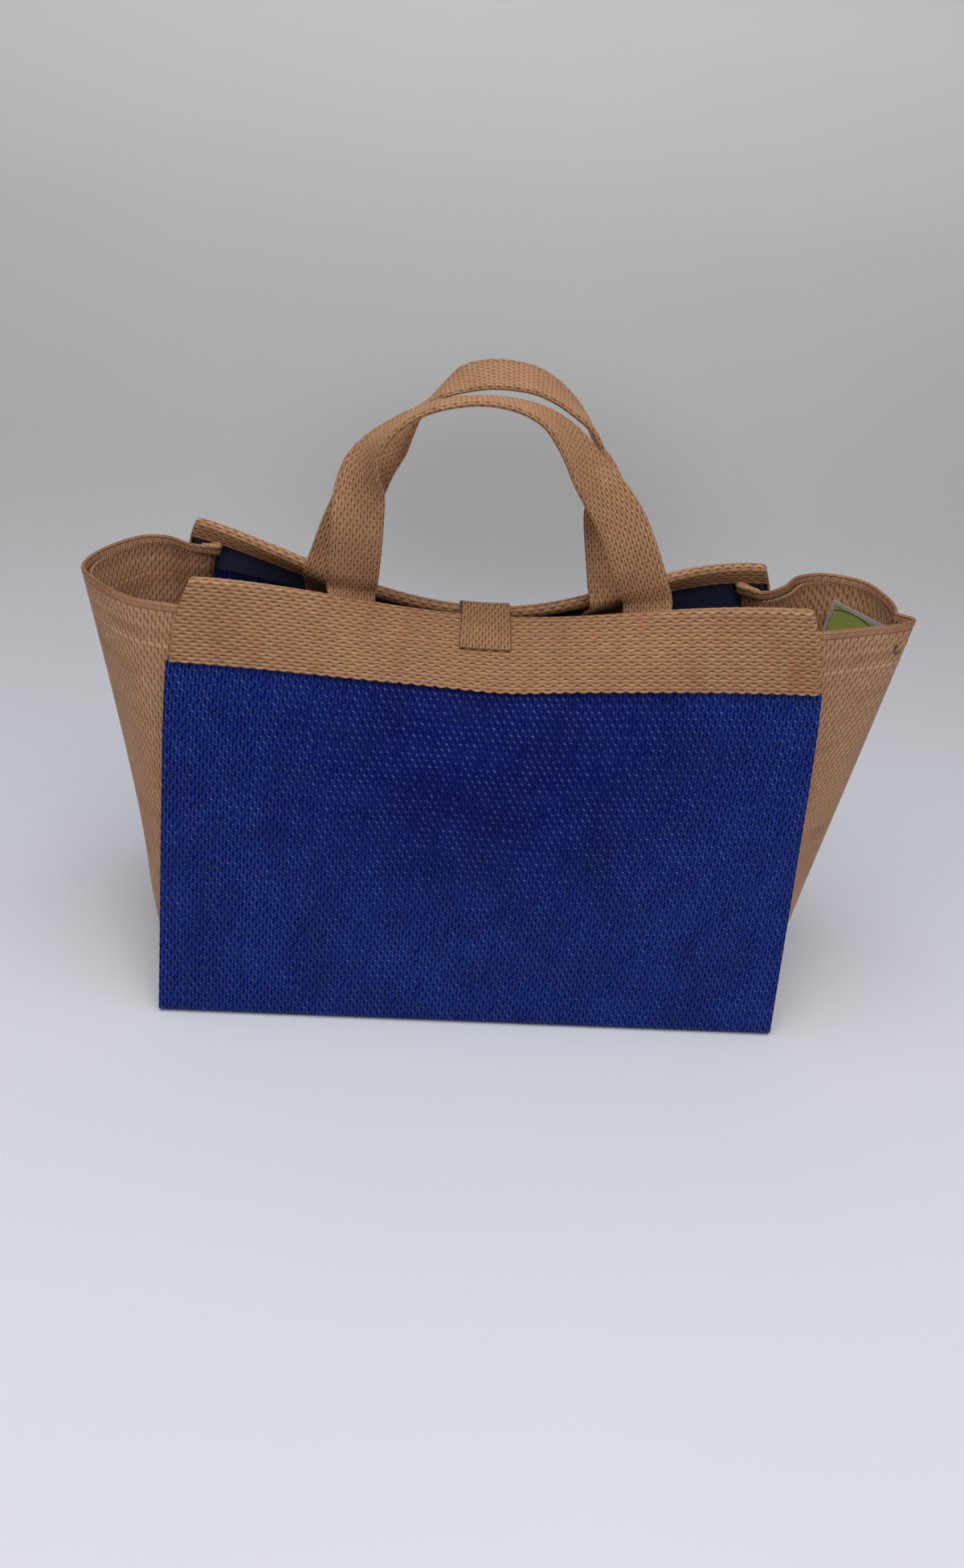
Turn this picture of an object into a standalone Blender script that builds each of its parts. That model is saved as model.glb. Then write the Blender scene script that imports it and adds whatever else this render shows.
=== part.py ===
"""Woven tote bag: one ribbed sheet folded into front, base and back, two side gussets that
flare outwards, folded bands and facings along the mouth, two twisted webbing handles and a
closing tab that holds the mouth together. Metres, +Z up, +X to the bag's right, -Y its front.
The origin lies on the floor under the middle of the base."""

import math

import bmesh
import bpy
from mathutils import Vector

# Sheet of the body
BASE_WIDTH = 0.320
BASE_DEPTH = 0.148
PANEL_HEIGHT = 0.228
CLOTH = 0.0012
CORNER_RADIUS = 0.0030
FRONT_MARGIN = 0.012
BACK_MARGIN = 0.016
RIDGE_PITCH = 0.00593
RIDGE_HEIGHT = 0.00035
PANEL_BULGE = 0.003
PANEL_COLUMNS = 8

# Upper edge of each panel before it is pinched: its two corners, the first number being how far
# in from the base's side. The tab then draws the edge's middle inwards and down to the dip, and
# each half of the edge falls to it by its own power
FRONT_LEFT = (0.0045, -0.0310, 0.2200)
FRONT_RIGHT = (0.0045, -0.0370, 0.2260)
FRONT_DIP = (0.000, -0.0058, 0.1985)
FRONT_FALL = (2.5, 2.5)
BACK_LEFT = (-0.0045, 0.0490, 0.2190)
BACK_RIGHT = (0.0140, 0.0210, 0.2250)
BACK_DIP = (-0.009, 0.0058, 0.1985)
BACK_FALL = (1.3, 2.0)
EDGE_DRAW = 0.0095
DRAW_POWER = 10
PULL_POWER = 8
SINK_POWER = 5

# Space between pieces that lie on each other
CLEARANCE = 0.0003
SEWN_GAP = 0.0010

# Folded band over each upper edge
BAND_CLOTH = 0.0012
BAND_DROP = 0.0385
BAND_TURN = 0.007
BAND_RIDGES = 7
BAND_RIDGE_HEIGHT = 0.00025

# Facing strip inside each panel, under the band's inner turn
FACING_CLOTH = 0.0008
FACING_SIDE_GAP = 0.009

# Side gussets
GUSSET_CLOTH = 0.0011
FLANGE_EDGE = 0.0015
GUSSET_FOLD_RADIUS = 0.0010
GUSSET_RIDGES = 10
GUSSET_RIDGE_HEIGHT = 0.0003
GUSSET_ROWS = 7
TOP_CROWDING = 1.4
HEM_DROP = 0.007
HEM_RADIUS = 0.00075
LEFT_RIM_DEPTH = (0.012, 0.010)
RIGHT_RIM_DEPTH = (0.009, 0.010)
LEFT_FLARE_POWER = 1.15
RIGHT_FLARE_POWER = 0.9
FOOT_SWELL = 0.008
WALL_SWELL = 0.020
SWELL_SHARE = 0.25

# Course of each gusset's rim seen from above, from its front seam to its back seam: how far out
# from the base's side, and y
LEFT_RIM = [
    (-0.0070, -0.0285), (0.0120, -0.0240), (0.0290, -0.0100), (0.0415, 0.0080),
    (0.0385, 0.0290), (0.0230, 0.0510), (0.0100, 0.0530), (-0.0035, 0.0435),
]
RIGHT_RIM = [
    (-0.0070, -0.0320), (0.0180, -0.0230), (0.0350, -0.0165), (0.0445, -0.0090),
    (0.0425, 0.0060), (0.0405, 0.0230), (0.0330, 0.0370), (0.0160, 0.0440),
    (0.0000, 0.0385), (-0.0125, 0.0220), (-0.0260, 0.0125),
]

# Webbing handles: each route is (x, y, z, twist in degrees) along the free part
HANDLE_WIDTH = 0.0245
HANDLE_THICKNESS = 0.0030
HANDLE_RIDGES = 4
HANDLE_RIDGE_HEIGHT = 0.00025
HANDLE_TUCK = 0.030
HANDLE_RISE = 0.009
HANDLE_STEPS = 25
HANDLE_SETTLE = 4
FRONT_HANDLE_FEET = (-0.0715, 0.0680)
FRONT_HANDLE_ROUTE = [
    (-0.0700, -0.0150, 0.2420, 0),
    (-0.0694, -0.0140, 0.2600, 14),
    (-0.0682, -0.0140, 0.2735, 48),
    (-0.0630, -0.0140, 0.2850, 78),
    (-0.0490, -0.0140, 0.2978, 95),
    (-0.0322, -0.0140, 0.3052, 98),
    (-0.0110, -0.0140, 0.3078, 98),
    (0.0092, -0.0140, 0.3037, 88),
    (0.0240, -0.0140, 0.2928, 66),
    (0.0362, -0.0145, 0.2772, 46),
    (0.0510, -0.0150, 0.2590, 24),
    (0.0610, -0.0165, 0.2390, 3),
]
BACK_HANDLE_FEET = (-0.0830, 0.0540)
BACK_HANDLE_ROUTE = [
    (-0.0765, 0.0180, 0.2340, 18),
    (-0.0640, 0.0165, 0.2650, 42),
    (-0.0545, 0.0165, 0.2785, 60),
    (-0.0400, 0.0165, 0.2965, 100),
    (-0.0240, 0.0165, 0.3090, 78),
    (-0.0075, 0.0165, 0.3124, 74),
    (0.0120, 0.0165, 0.3088, 77),
    (0.0310, 0.0165, 0.2955, 92),
    (0.0394, 0.0165, 0.2840, 100),
    (0.0450, 0.0165, 0.2690, 56),
    (0.0508, 0.0165, 0.2480, 10),
    (0.0535, 0.0175, 0.2350, 0),
]

# Closing tab over both upper edges
TAB_WIDTH = 0.0245
TAB_CENTRE = -0.006
TAB_CLOTH = 0.0012
TAB_DROP = 0.0175

# Small card in a clear sleeve, inside the right gusset
SLEEVE_WIDTH = 0.036
SLEEVE_HEIGHT = 0.040
SLEEVE_WALL = 0.0004
SLEEVE_SEAM = 0.002
SLEEVE_SPARE = 0.0060
CARD_THICKNESS = 0.0006
CARD_ROW = 0.95
CARD_MIDDLE = 0.53

# Finishes: linear colour, roughness
TAN = (0.42, 0.25, 0.15)
BLUE = (0.006, 0.016, 0.16)
NAVY = (0.010, 0.012, 0.022)
GREEN = (0.17, 0.19, 0.03)
CLEAR = (0.62, 0.62, 0.62)
ROUGH_WEAVE = 0.55
ROUGH_FACING = 0.8
ROUGH_CARD = 0.4


def lerp(a, b, t):
    """The value that lies the share t of the way from a to b."""
    return a + (b - a) * t


def smooth_step(t):
    """Eases 0..1 with level ends."""
    t = max(0.0, min(1.0, t))
    return t * t * (3 - 2 * t)


def through(points, t):
    """A smooth curve through the points, t from 0 to 1 by the distance between them."""
    points = [Vector(p) for p in points]
    marks = [0.0]
    for a, b in zip(points, points[1:]):
        marks.append(marks[-1] + (b.xyz - a.xyz).length)
    marks = [m / marks[-1] for m in marks]
    last = len(points) - 1
    i = max(j for j in range(last) if marks[j] <= t or j == 0)
    span = marks[i + 1] - marks[i]
    f = (t - marks[i]) / span

    def slope(j):
        """The curve's slope at point j."""
        a, b = max(j - 1, 0), min(j + 1, last)
        return (points[b] - points[a]) * (span / (marks[b] - marks[a]))

    return (points[i] * (2 * f ** 3 - 3 * f * f + 1) + slope(i) * (f ** 3 - 2 * f * f + f)
            + points[i + 1] * (3 * f * f - 2 * f ** 3) + slope(i + 1) * (f ** 3 - f * f))


class Panel:
    """One standing side of the body sheet. u runs from -1 at the left edge to 1 at the right,
    h from 0 at the foot to 1 at the upper edge. Between its columns, and between the levels
    under the band, the sheet is flat, so what lies on it follows the same flats."""

    def __init__(self, side, left, right, dip, fall, margin):
        self.side, self.margin = side, margin
        self.left = Vector((left[0] - BASE_WIDTH / 2, *left[1:]))
        self.right = Vector((BASE_WIDTH / 2 - right[0], *right[1:]))
        self.dip = Vector(dip)
        self.fall = fall

    def edge(self, u):
        """The upper edge at u as it would stand unpinched."""
        return self.left.lerp(self.right, (u + 1) / 2)

    def pinch(self, u):
        """How far the tab draws the edge at u, from 0 at the corners to 1 in the middle."""
        return max(0.0, math.cos(abs(u) * math.pi / 2)) ** self.fall[0 if u < 0 else 1]

    def foot(self, u):
        """The foot, where the rounded corner of the base ends."""
        return Vector((u * BASE_WIDTH / 2, self.side * BASE_DEPTH / 2, CORNER_RADIUS + CLOTH / 2))

    def smooth_point(self, u, h):
        """The sheet's middle at u and h before it is cut into flats."""
        point = self.foot(u).lerp(self.edge(u), h)
        drawn = self.dip - self.edge(0)
        pinch = self.pinch(u)
        belly = math.sin(math.pi * max(0.0, min(1.0, h))) * (1 - u * u)
        return point + Vector((
            drawn.x * pinch * h ** SINK_POWER - u * EDGE_DRAW * h ** DRAW_POWER,
            drawn.y * pinch * h ** PULL_POWER + self.side * PANEL_BULGE * belly,
            drawn.z * pinch * h ** SINK_POWER,
        ))

    def knot(self, k):
        """u of column line k."""
        return -1 + 2 * k / PANEL_COLUMNS

    def knot_normal(self, k, h):
        """The inward normal on column line k."""
        u, step = self.knot(k), 0.02
        across = self.smooth_point(min(1, u + step), h) - self.smooth_point(max(-1, u - step), h)
        up = self.smooth_point(u, h + step) - self.smooth_point(u, h - step)
        return (across.cross(up) * self.side).normalized() * -1 if self.side > 0 else (
            up.cross(across).normalized())

    def column(self, u):
        """The column that holds u and the share of the way across it."""
        place = (max(-1.0, min(1.0, u)) + 1) / 2 * PANEL_COLUMNS
        k = min(int(place), PANEL_COLUMNS - 1)
        return k, place - k

    def point(self, u, h, inward=0.0):
        """The sheet at u and h, moved inwards from its middle."""
        low = 1 - BAND_DROP / PANEL_HEIGHT
        if low < h < 1:
            place = (h - low) / (1 - low) * BAND_RIDGES
            level = int(place)
            ends = [self.on_level(u, lerp(low, 1, j / BAND_RIDGES), inward)
                    for j in (level, level + 1)]
            return ends[0].lerp(ends[1], place - level)
        return self.on_level(u, h, inward)

    def on_level(self, u, h, inward):
        """The sheet at u on a level line, moved inwards from its middle."""
        k, t = self.column(u)
        ends = [self.smooth_point(self.knot(j), h) + self.inward(j, h) * inward for j in (k, k + 1)]
        return ends[0].lerp(ends[1], t)

    def inward(self, k, h):
        """The direction into the bag on column line k."""
        normal = self.knot_normal(k, h)
        return normal if normal.y * self.side < 0 else -normal

    def below(self, u, drop, inward=0.0):
        """The sheet a real distance below its upper edge."""
        return self.point(u, 1 - drop / PANEL_HEIGHT, inward)

    def u_at(self, x, h):
        """u where the sheet has this x, found by halving."""
        low, high = -1.0, 1.0
        for _ in range(30):
            middle = (low + high) / 2
            if self.point(middle, h).x < x:
                low = middle
            else:
                high = middle
        return (low + high) / 2


FRONT = Panel(-1, FRONT_LEFT, FRONT_RIGHT, FRONT_DIP, FRONT_FALL, FRONT_MARGIN)
BACK = Panel(1, BACK_LEFT, BACK_RIGHT, BACK_DIP, BACK_FALL, BACK_MARGIN)

# Distances from the middle of a panel's sheet to the middle of what lies on it
BODY_HALF = CLOTH / 2
BAND_OFFSET = BODY_HALF + SEWN_GAP + BAND_CLOTH / 2 + BAND_RIDGE_HEIGHT
TAB_OFFSET = BAND_OFFSET + BAND_CLOTH / 2 + BAND_RIDGE_HEIGHT + CLEARANCE + TAB_CLOTH / 2
FACING_OFFSET = BODY_HALF + SEWN_GAP + FACING_CLOTH / 2
FLANGE_OFFSET = BODY_HALF + RIDGE_HEIGHT + SEWN_GAP + GUSSET_CLOTH / 2
HANDLE_OFFSET = (BAND_OFFSET + BAND_CLOTH / 2 + 3 * CLEARANCE + HANDLE_THICKNESS / 2
                 + HANDLE_RIDGE_HEIGHT)


def clear_scene():
    """Takes out every object, mesh and material that the file starts with."""
    for obj in list(bpy.data.objects):
        bpy.data.objects.remove(obj, do_unlink=True)
    for store in (bpy.data.meshes, bpy.data.materials):
        for block in list(store):
            store.remove(block)


def finish(name, colour, roughness):
    """A plain Principled material."""
    material = bpy.data.materials.new(name)
    material.use_nodes = True
    shader = material.node_tree.nodes["Principled BSDF"]
    shader.inputs["Base Color"].default_value = (*colour, 1)
    shader.inputs["Roughness"].default_value = roughness
    shader.inputs["Metallic"].default_value = 0
    return material


def sheet(name, rows, thickness, material, more_rows=(), skip=0):
    """A closed sheet from rows of points on its middle surface, given its thickness by Solidify.
    More rows may go on from the last one, leaving out as many points at each end as skip says."""
    mesh = bpy.data.meshes.new(name)
    form = bmesh.new()
    grid = [[form.verts.new(point) for point in row] for row in rows]
    for low, high in zip(grid, grid[1:]):
        for a, b, c, d in zip(low, low[1:], high[1:], high):
            form.faces.new((a, b, c, d))
    low = grid[-1][skip:len(grid[-1]) - skip]
    for row in more_rows:
        high = [form.verts.new(point) for point in row]
        for a, b, c, d in zip(low, low[1:], high[1:], high):
            form.faces.new((a, b, c, d))
        low = high
    form.normal_update()
    form.to_mesh(mesh)
    form.free()
    obj = bpy.data.objects.new(name, mesh)
    bpy.context.scene.collection.objects.link(obj)
    solid = obj.modifiers.new("Thickness", "SOLIDIFY")
    solid.thickness = thickness
    solid.offset = 0
    solid.use_even_offset = True
    mesh.shade_smooth()
    mesh.materials.append(material)
    return obj


def across(panel_columns=PANEL_COLUMNS):
    """u of every column line of a panel."""
    return [-1 + 2 * k / panel_columns for k in range(panel_columns + 1)]


def ridge(index, height):
    """A ridge on odd rows and a furrow on even ones."""
    return height if index % 2 else -height


def panel_rows(panel):
    """Rows of one panel from its foot to its upper edge, ribbed up to the band."""
    ribbed = PANEL_HEIGHT - BAND_DROP
    count = 2 * round(ribbed / RIDGE_PITCH)
    rows = []
    for i in range(1, count):
        h = i / count * ribbed / PANEL_HEIGHT
        swell = ridge(i, RIDGE_HEIGHT)
        rows.append([panel.point(u, h, swell) for u in across()])
    for level in range(BAND_RIDGES + 1):
        h = lerp(ribbed / PANEL_HEIGHT, 1, level / BAND_RIDGES)
        rows.append([panel.point(u, h) for u in across()])
    return rows


def base_rows():
    """Rows of the base, from the front corner round to the back corner."""
    rows = []
    corner_steps = 3
    for side in (-1, 1):
        for step in range(corner_steps + 1):
            turn = math.pi / 2 * (step if side < 0 else corner_steps - step) / corner_steps
            y = side * (BASE_DEPTH / 2 - CORNER_RADIUS + CORNER_RADIUS * math.cos(turn))
            z = CLOTH / 2 + CORNER_RADIUS * (1 - math.sin(turn))
            rows.append([Vector((u * BASE_WIDTH / 2, y, z)) for u in across()])
    return rows


def build_body(material):
    """Front, base and back in one sheet."""
    rows = list(reversed(panel_rows(FRONT))) + base_rows() + panel_rows(BACK)
    return sheet("body_panel", rows, CLOTH, material)


def over_edge(panel, u, radius, steps):
    """Points of a half turn over the upper edge, from the outside to the inside."""
    top = panel.point(u, 1)
    inward = (panel.point(u, 1, radius) - top)
    up = (top - panel.below(u, 0.01)).normalized() * radius
    return [top - inward * math.cos(math.pi * i / steps) + up * math.sin(math.pi * i / steps)
            for i in range(steps + 1)]


def build_band(name, panel, material):
    """A strip folded over the upper edge, ribbed along its length outside."""
    columns = []
    turn_steps = 4
    for u in across():
        line = []
        for i in range(2 * BAND_RIDGES):
            drop = BAND_DROP * (1 - i / (2 * BAND_RIDGES))
            swell = ridge(i, BAND_RIDGE_HEIGHT)
            line.append(panel.below(u, drop, -BAND_OFFSET - swell))
        line += over_edge(panel, u, BAND_OFFSET, turn_steps)
        line.append(panel.below(u, BAND_TURN, BAND_OFFSET))
        columns.append(line)
    return sheet(name, columns, BAND_CLOTH, material)


def build_facing(name, panel, material):
    """A smooth strip inside the panel, just under the band's inner turn."""
    side_limit = panel.margin + FACING_SIDE_GAP
    rows = []
    level = BAND_DROP / BAND_RIDGES
    for drop in (BAND_TURN + CLEARANCE, 2 * level, 3 * level, 4 * level):
        h = 1 - drop / PANEL_HEIGHT
        ends = [panel.u_at(panel.point(end, h).x - end * side_limit, h) for end in (-1, 1)]
        us = [ends[0]] + [u for u in across() if ends[0] < u < ends[1]] + [ends[1]]
        rows.append([panel.point(u, h, FACING_OFFSET) for u in us])
    return sheet(name, rows, FACING_CLOTH, material)


def seam_frame(panel, side, h):
    """The gusset's seam on a panel: its place, the way out to the side and the way inwards."""
    edge_x = panel.point(side, h).x
    u = panel.u_at(edge_x - side * panel.margin, h)
    place = panel.point(u, h, FLANGE_OFFSET)
    outer = panel.u_at(edge_x - side * FLANGE_EDGE, h)
    out = panel.point(outer, h, FLANGE_OFFSET) - place
    inward = (panel.point(u, h, FLANGE_OFFSET + 0.01) - place).normalized()
    return place, out, inward


def fold(place, out, inward, turn):
    """Points round the gusset's fold behind its flange."""
    centre = place + inward * GUSSET_FOLD_RADIUS
    along = out.normalized()
    steps = 3
    points = []
    for i in range(steps + 1):
        angle = turn * i / steps
        points.append(centre - along * GUSSET_FOLD_RADIUS * math.sin(angle)
                      - inward * GUSSET_FOLD_RADIUS * math.cos(angle))
    return points


def route_marks(route):
    """How far along its route each point lies, from 0 to 1, counting the hidden ends."""
    steps = [math.dist(a, b) for a, b in zip(route, route[1:])]
    steps = [FRONT_MARGIN] + steps + [BACK_MARGIN]
    return [sum(steps[:i + 1]) / sum(steps) for i in range(len(route))]


def gusset_line(side, rim, share, depths, flare):
    """One level line of a gusset, from the front flange to the back flange. At its foot the wall
    stands straight across the base, and it opens to the rim's course."""
    route = [(side * (BASE_WIDTH / 2 + out), y) for out, y in rim]
    frames = [seam_frame(panel, side, share * (1 - depth / PANEL_HEIGHT))
              for panel, depth in zip((FRONT, BACK), depths)]
    foot_xs = [side * (BASE_WIDTH / 2 - panel.margin) for panel in (FRONT, BACK)]
    half = BASE_DEPTH / 2 - FLANGE_OFFSET
    opened = share ** flare
    heights = [frame[0].z for frame in frames]
    middle = []
    swell = side * lerp(FOOT_SWELL, WALL_SWELL, smooth_step(share / SWELL_SHARE))
    for mark, (x, y) in zip(route_marks(route), route):
        low_x = lerp(*foot_xs, mark) + swell * (4 * mark * (1 - mark)) ** 0.35
        middle.append(Vector((lerp(low_x, x, opened), lerp(-half + 2 * half * mark, y, opened),
                              lerp(heights[0], heights[1], mark))))
    ends = []
    for (place, out, inward), first in zip(frames, (middle[0], middle[-1])):
        away = first - place
        turn = math.atan2(away.dot(inward) - GUSSET_FOLD_RADIUS, -away.dot(out.normalized()))
        ends.append([place + out] + fold(place, out, inward, min(turn, math.pi)))
    front, back = ends
    course = [front[-1]] + middle + [back[-1]]
    count = 2 * GUSSET_RIDGES
    body = []
    for i in range(1, count):
        point = through(course, i / count)
        ahead = through(course, i / count + 0.01)
        normal = (ahead - point).cross(Vector((0, 0, 1))).normalized()
        body.append(point + normal * ridge(i, GUSSET_RIDGE_HEIGHT))
    return front + body + list(reversed(back))


def build_gusset(name, side, rim, depths, flare, material):
    """One side: a flange behind each panel's margin, a flaring wall and a hem turned inside."""
    shares = [1 - (1 - i / GUSSET_ROWS) ** TOP_CROWDING for i in range(GUSSET_ROWS + 1)]
    rows = [gusset_line(side, rim, share, depths, flare) for share in shares]
    floor = CLOTH + CLEARANCE + GUSSET_CLOTH / 2
    hidden = 4
    for point in rows[0][hidden:-hidden]:
        point.z = floor
    hem = hem_rows(rows[-2], rows[-1], side, hidden)
    return sheet(name, rows, GUSSET_CLOTH, material, hem, hidden)


def hem_rows(below, rim, side, hidden):
    """The hem: the wall's edge turned over inwards and laid down inside it, between its folds."""
    ways = []
    for i in range(hidden, len(rim) - hidden):
        along = rim[i + 1] - rim[i - 1]
        up = (rim[i] - below[i]).normalized()
        ways.append((rim[i], up, along.cross(up).normalized() * side))
    rows = []
    for angle in (math.pi / 3, 2 * math.pi / 3, math.pi):
        rows.append([point + up * HEM_RADIUS * math.sin(angle)
                     + way * HEM_RADIUS * (1 - math.cos(angle)) for point, up, way in ways])
    rows.append([point - up * HEM_DROP + way * 2 * HEM_RADIUS for point, up, way in ways])
    return rows


def handle_columns():
    """Places across the handle, from -0.5 to 0.5 of its width."""
    count = 2 * HANDLE_RIDGES
    return [i / count - 0.5 for i in range(count + 1)]


def tucked_rows(panel, foot):
    """Rows of a handle's end where it lies inside the panel, lowest first, until it has risen
    clear of the band."""
    rows = []
    for drop in (HANDLE_TUCK, BAND_TURN, -HANDLE_RISE):
        h = 1 - drop / PANEL_HEIGHT
        row = []
        for i, share in enumerate(handle_columns()):
            u = panel.u_at(foot + share * HANDLE_WIDTH, h)
            row.append(panel.point(u, h, HANDLE_OFFSET + ridge(i, HANDLE_RIDGE_HEIGHT)))
        rows.append(row)
    return rows


def free_rows(panel, feet, route):
    """Rows of the free arch. The strap faces the front at its feet and turns to face upwards
    along the grip, by the route's twist."""
    top = 1 + HANDLE_RISE / PANEL_HEIGHT
    foot_us = [panel.u_at(foot, top) for foot in feet]
    starts = [panel.point(u, top, HANDLE_OFFSET) for u in foot_us]
    levels = [(panel.point(u + 0.05, top) - panel.point(u - 0.05, top)).normalized()
              for u in foot_us]
    points = [(*starts[0], 0)] + route + [(*starts[1], 0)]
    rows = []
    for step in range(1, HANDLE_STEPS):
        t = step / HANDLE_STEPS
        x, y, z, twist = through(points, t)
        ahead = through(points, min(1, t + 0.01))
        behind = through(points, max(0, t - 0.01))
        tangent = (ahead - behind).xyz.normalized()
        outward = Vector((0, 1, 0)).cross(tangent).normalized() * -1
        twist = math.radians(twist)
        width = outward * -math.cos(twist) + Vector((0, -1, 0)) * math.sin(twist)
        settled = smooth_step(min(step, HANDLE_STEPS - step) / HANDLE_SETTLE)
        level = levels[0] if step < HANDLE_STEPS / 2 else -levels[1]
        width = level.lerp(width, settled).normalized()
        face = tangent.cross(width).normalized()
        row = []
        for i, share in enumerate(handle_columns()):
            place = Vector((x, y, z)) + width * share * HANDLE_WIDTH
            row.append(place - face * ridge(i, HANDLE_RIDGE_HEIGHT))
        rows.append(row)
    return rows


def build_handle(name, panel, feet, route, material):
    """One strap from its left tucked end over the arch to its right tucked end."""
    left = tucked_rows(panel, feet[0])
    right = [list(reversed(row)) for row in reversed(tucked_rows(panel, feet[1]))]
    return sheet(name, left + free_rows(panel, feet, route) + right, HANDLE_THICKNESS, material)


def build_tab(material):
    """The tab from the back band over both upper edges down the front band."""
    columns = []
    rise = BAND_OFFSET + BAND_CLOTH / 2 + CLEARANCE + TAB_CLOTH / 2
    drops = (TAB_DROP, TAB_DROP / 2, 0.0, -rise / 2)
    for share in (-0.5, 0.0, 0.5):
        x = TAB_CENTRE + share * TAB_WIDTH
        legs = []
        for panel in (FRONT, BACK):
            u = panel.u_at(x, 1)
            legs.append([panel.below(u, drop, -TAB_OFFSET) for drop in drops])
        start, end = legs[0][-1], legs[1][-1]
        bow = []
        for i in (1, 2, 3):
            place = start.lerp(end, i / 4)
            place.z += rise / 2 * math.sin(math.pi * i / 4)
            bow.append(place)
        columns.append(legs[0] + bow + list(reversed(legs[1])))
    return sheet("closure_tab", columns, TAB_CLOTH, material)


def card_chord(row):
    """The ends of a chord inside the right gusset's wall, row of the way up: as long as the
    sleeve is wide with its spare, and centred on the card's middle."""
    line = gusset_line(1, RIGHT_RIM, row, RIGHT_RIM_DEPTH, RIGHT_FLARE_POWER)
    last = len(line) - 1

    def at(share):
        """The wall's point at this share of the way round it."""
        i = min(int(share * last), last - 1)
        return line[i].lerp(line[i + 1], share * last - i)

    low, high = 0.0, min(CARD_MIDDLE, 1 - CARD_MIDDLE)
    for _ in range(20):
        reach = (low + high) / 2
        if (at(CARD_MIDDLE - reach) - at(CARD_MIDDLE + reach)).length < SLEEVE_WIDTH + SLEEVE_SPARE:
            low = reach
        else:
            high = reach
    return at(CARD_MIDDLE - reach), at(CARD_MIDDLE + reach)


def plate(name, origin, across_way, down_way, size, lift, thickness, material):
    """A thin closed plate: its upper left corner, its two directions and its lift off them."""
    off = down_way.cross(across_way).normalized()
    corners = [origin + off * lift,
               origin + off * lift + across_way * size[0],
               origin + off * lift + across_way * size[0] + down_way * size[1],
               origin + off * lift + down_way * size[1]]
    mesh = bpy.data.meshes.new(name)
    form = bmesh.new()
    face = form.faces.new([form.verts.new(corner) for corner in corners])
    far = bmesh.ops.extrude_face_region(form, geom=[face])["geom"]
    bmesh.ops.translate(form, verts=[g for g in far if isinstance(g, bmesh.types.BMVert)],
                        vec=off * thickness)
    bmesh.ops.recalc_face_normals(form, faces=form.faces)
    form.to_mesh(mesh)
    form.free()
    mesh.materials.append(material)
    obj = bpy.data.objects.new(name, mesh)
    bpy.context.scene.collection.objects.link(obj)
    return obj


def build_card(card_material, sleeve_material):
    """The card in its open-topped clear sleeve, which hangs against the right gusset's inside."""
    ends = card_chord(CARD_ROW)
    lower = card_chord(CARD_ROW - SLEEVE_HEIGHT / PANEL_HEIGHT)
    across_way = (ends[0] - ends[1]).normalized()
    down = (lower[0] + lower[1] - ends[0] - ends[1]).normalized()
    down = (down - across_way * down.dot(across_way)).normalized()
    stand = GUSSET_CLOTH / 2 + GUSSET_RIDGE_HEIGHT + CLEARANCE
    outer = (SLEEVE_WIDTH, SLEEVE_HEIGHT)
    room = 2 * CLEARANCE + CARD_THICKNESS
    spare = (ends[0] - ends[1]).length - SLEEVE_WIDTH
    corner = ends[1] + across_way * spare / 2
    sleeve = plate("card_sleeve", corner, across_way, down, outer, stand,
                   2 * SLEEVE_WALL + room, sleeve_material)
    inner = (SLEEVE_WIDTH - 2 * SLEEVE_SEAM, SLEEVE_HEIGHT)
    cutter = plate("sleeve_room", corner + across_way * SLEEVE_SEAM - down * SLEEVE_SEAM,
                   across_way, down, inner, stand + SLEEVE_WALL, room, sleeve_material)
    cutter.hide_render = True
    cutter.display_type = "WIRE"
    cut = sleeve.modifiers.new("Pocket", "BOOLEAN")
    cut.operation = "DIFFERENCE"
    cut.object = cutter
    play = CLEARANCE
    plate("label_card", corner + across_way * (SLEEVE_SEAM + play) + down * play, across_way, down,
          (inner[0] - 2 * play, SLEEVE_HEIGHT - SLEEVE_SEAM - 2 * play),
          stand + SLEEVE_WALL + CLEARANCE, CARD_THICKNESS, card_material)


def main():
    """Builds every piece of the bag."""
    clear_scene()
    tan = finish("tan_weave", TAN, ROUGH_WEAVE)
    blue = finish("blue_weave", BLUE, ROUGH_WEAVE)
    navy = finish("navy_facing", NAVY, ROUGH_FACING)
    build_body(blue)
    build_gusset("left_gusset", -1, LEFT_RIM, LEFT_RIM_DEPTH, LEFT_FLARE_POWER, tan)
    build_gusset("right_gusset", 1, RIGHT_RIM, RIGHT_RIM_DEPTH, RIGHT_FLARE_POWER, tan)
    build_band("front_band", FRONT, tan)
    build_band("back_band", BACK, tan)
    build_facing("front_facing", FRONT, navy)
    build_facing("back_facing", BACK, navy)
    build_handle("front_handle", FRONT, FRONT_HANDLE_FEET, FRONT_HANDLE_ROUTE, tan)
    build_handle("back_handle", BACK, BACK_HANDLE_FEET, BACK_HANDLE_ROUTE, tan)
    build_tab(tan)
    build_card(finish("green_card", GREEN, ROUGH_CARD), finish("clear_sleeve", CLEAR, ROUGH_CARD))


main()
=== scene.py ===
"""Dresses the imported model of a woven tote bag: ribbed cord cloth on every wall, folded bands
over the mouth, flaring gussets with overlocked hems, twisted webbing handles, a closing tab and
a small card in a clear sleeve. Metres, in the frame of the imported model."""

import logging
import math
from contextlib import contextmanager
from dataclasses import dataclass
from enum import Enum
from typing import Dict, Iterator, List, Optional, Sequence, Tuple, Union

import bpy
import numpy as np
from mathutils import Matrix, Vector


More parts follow.
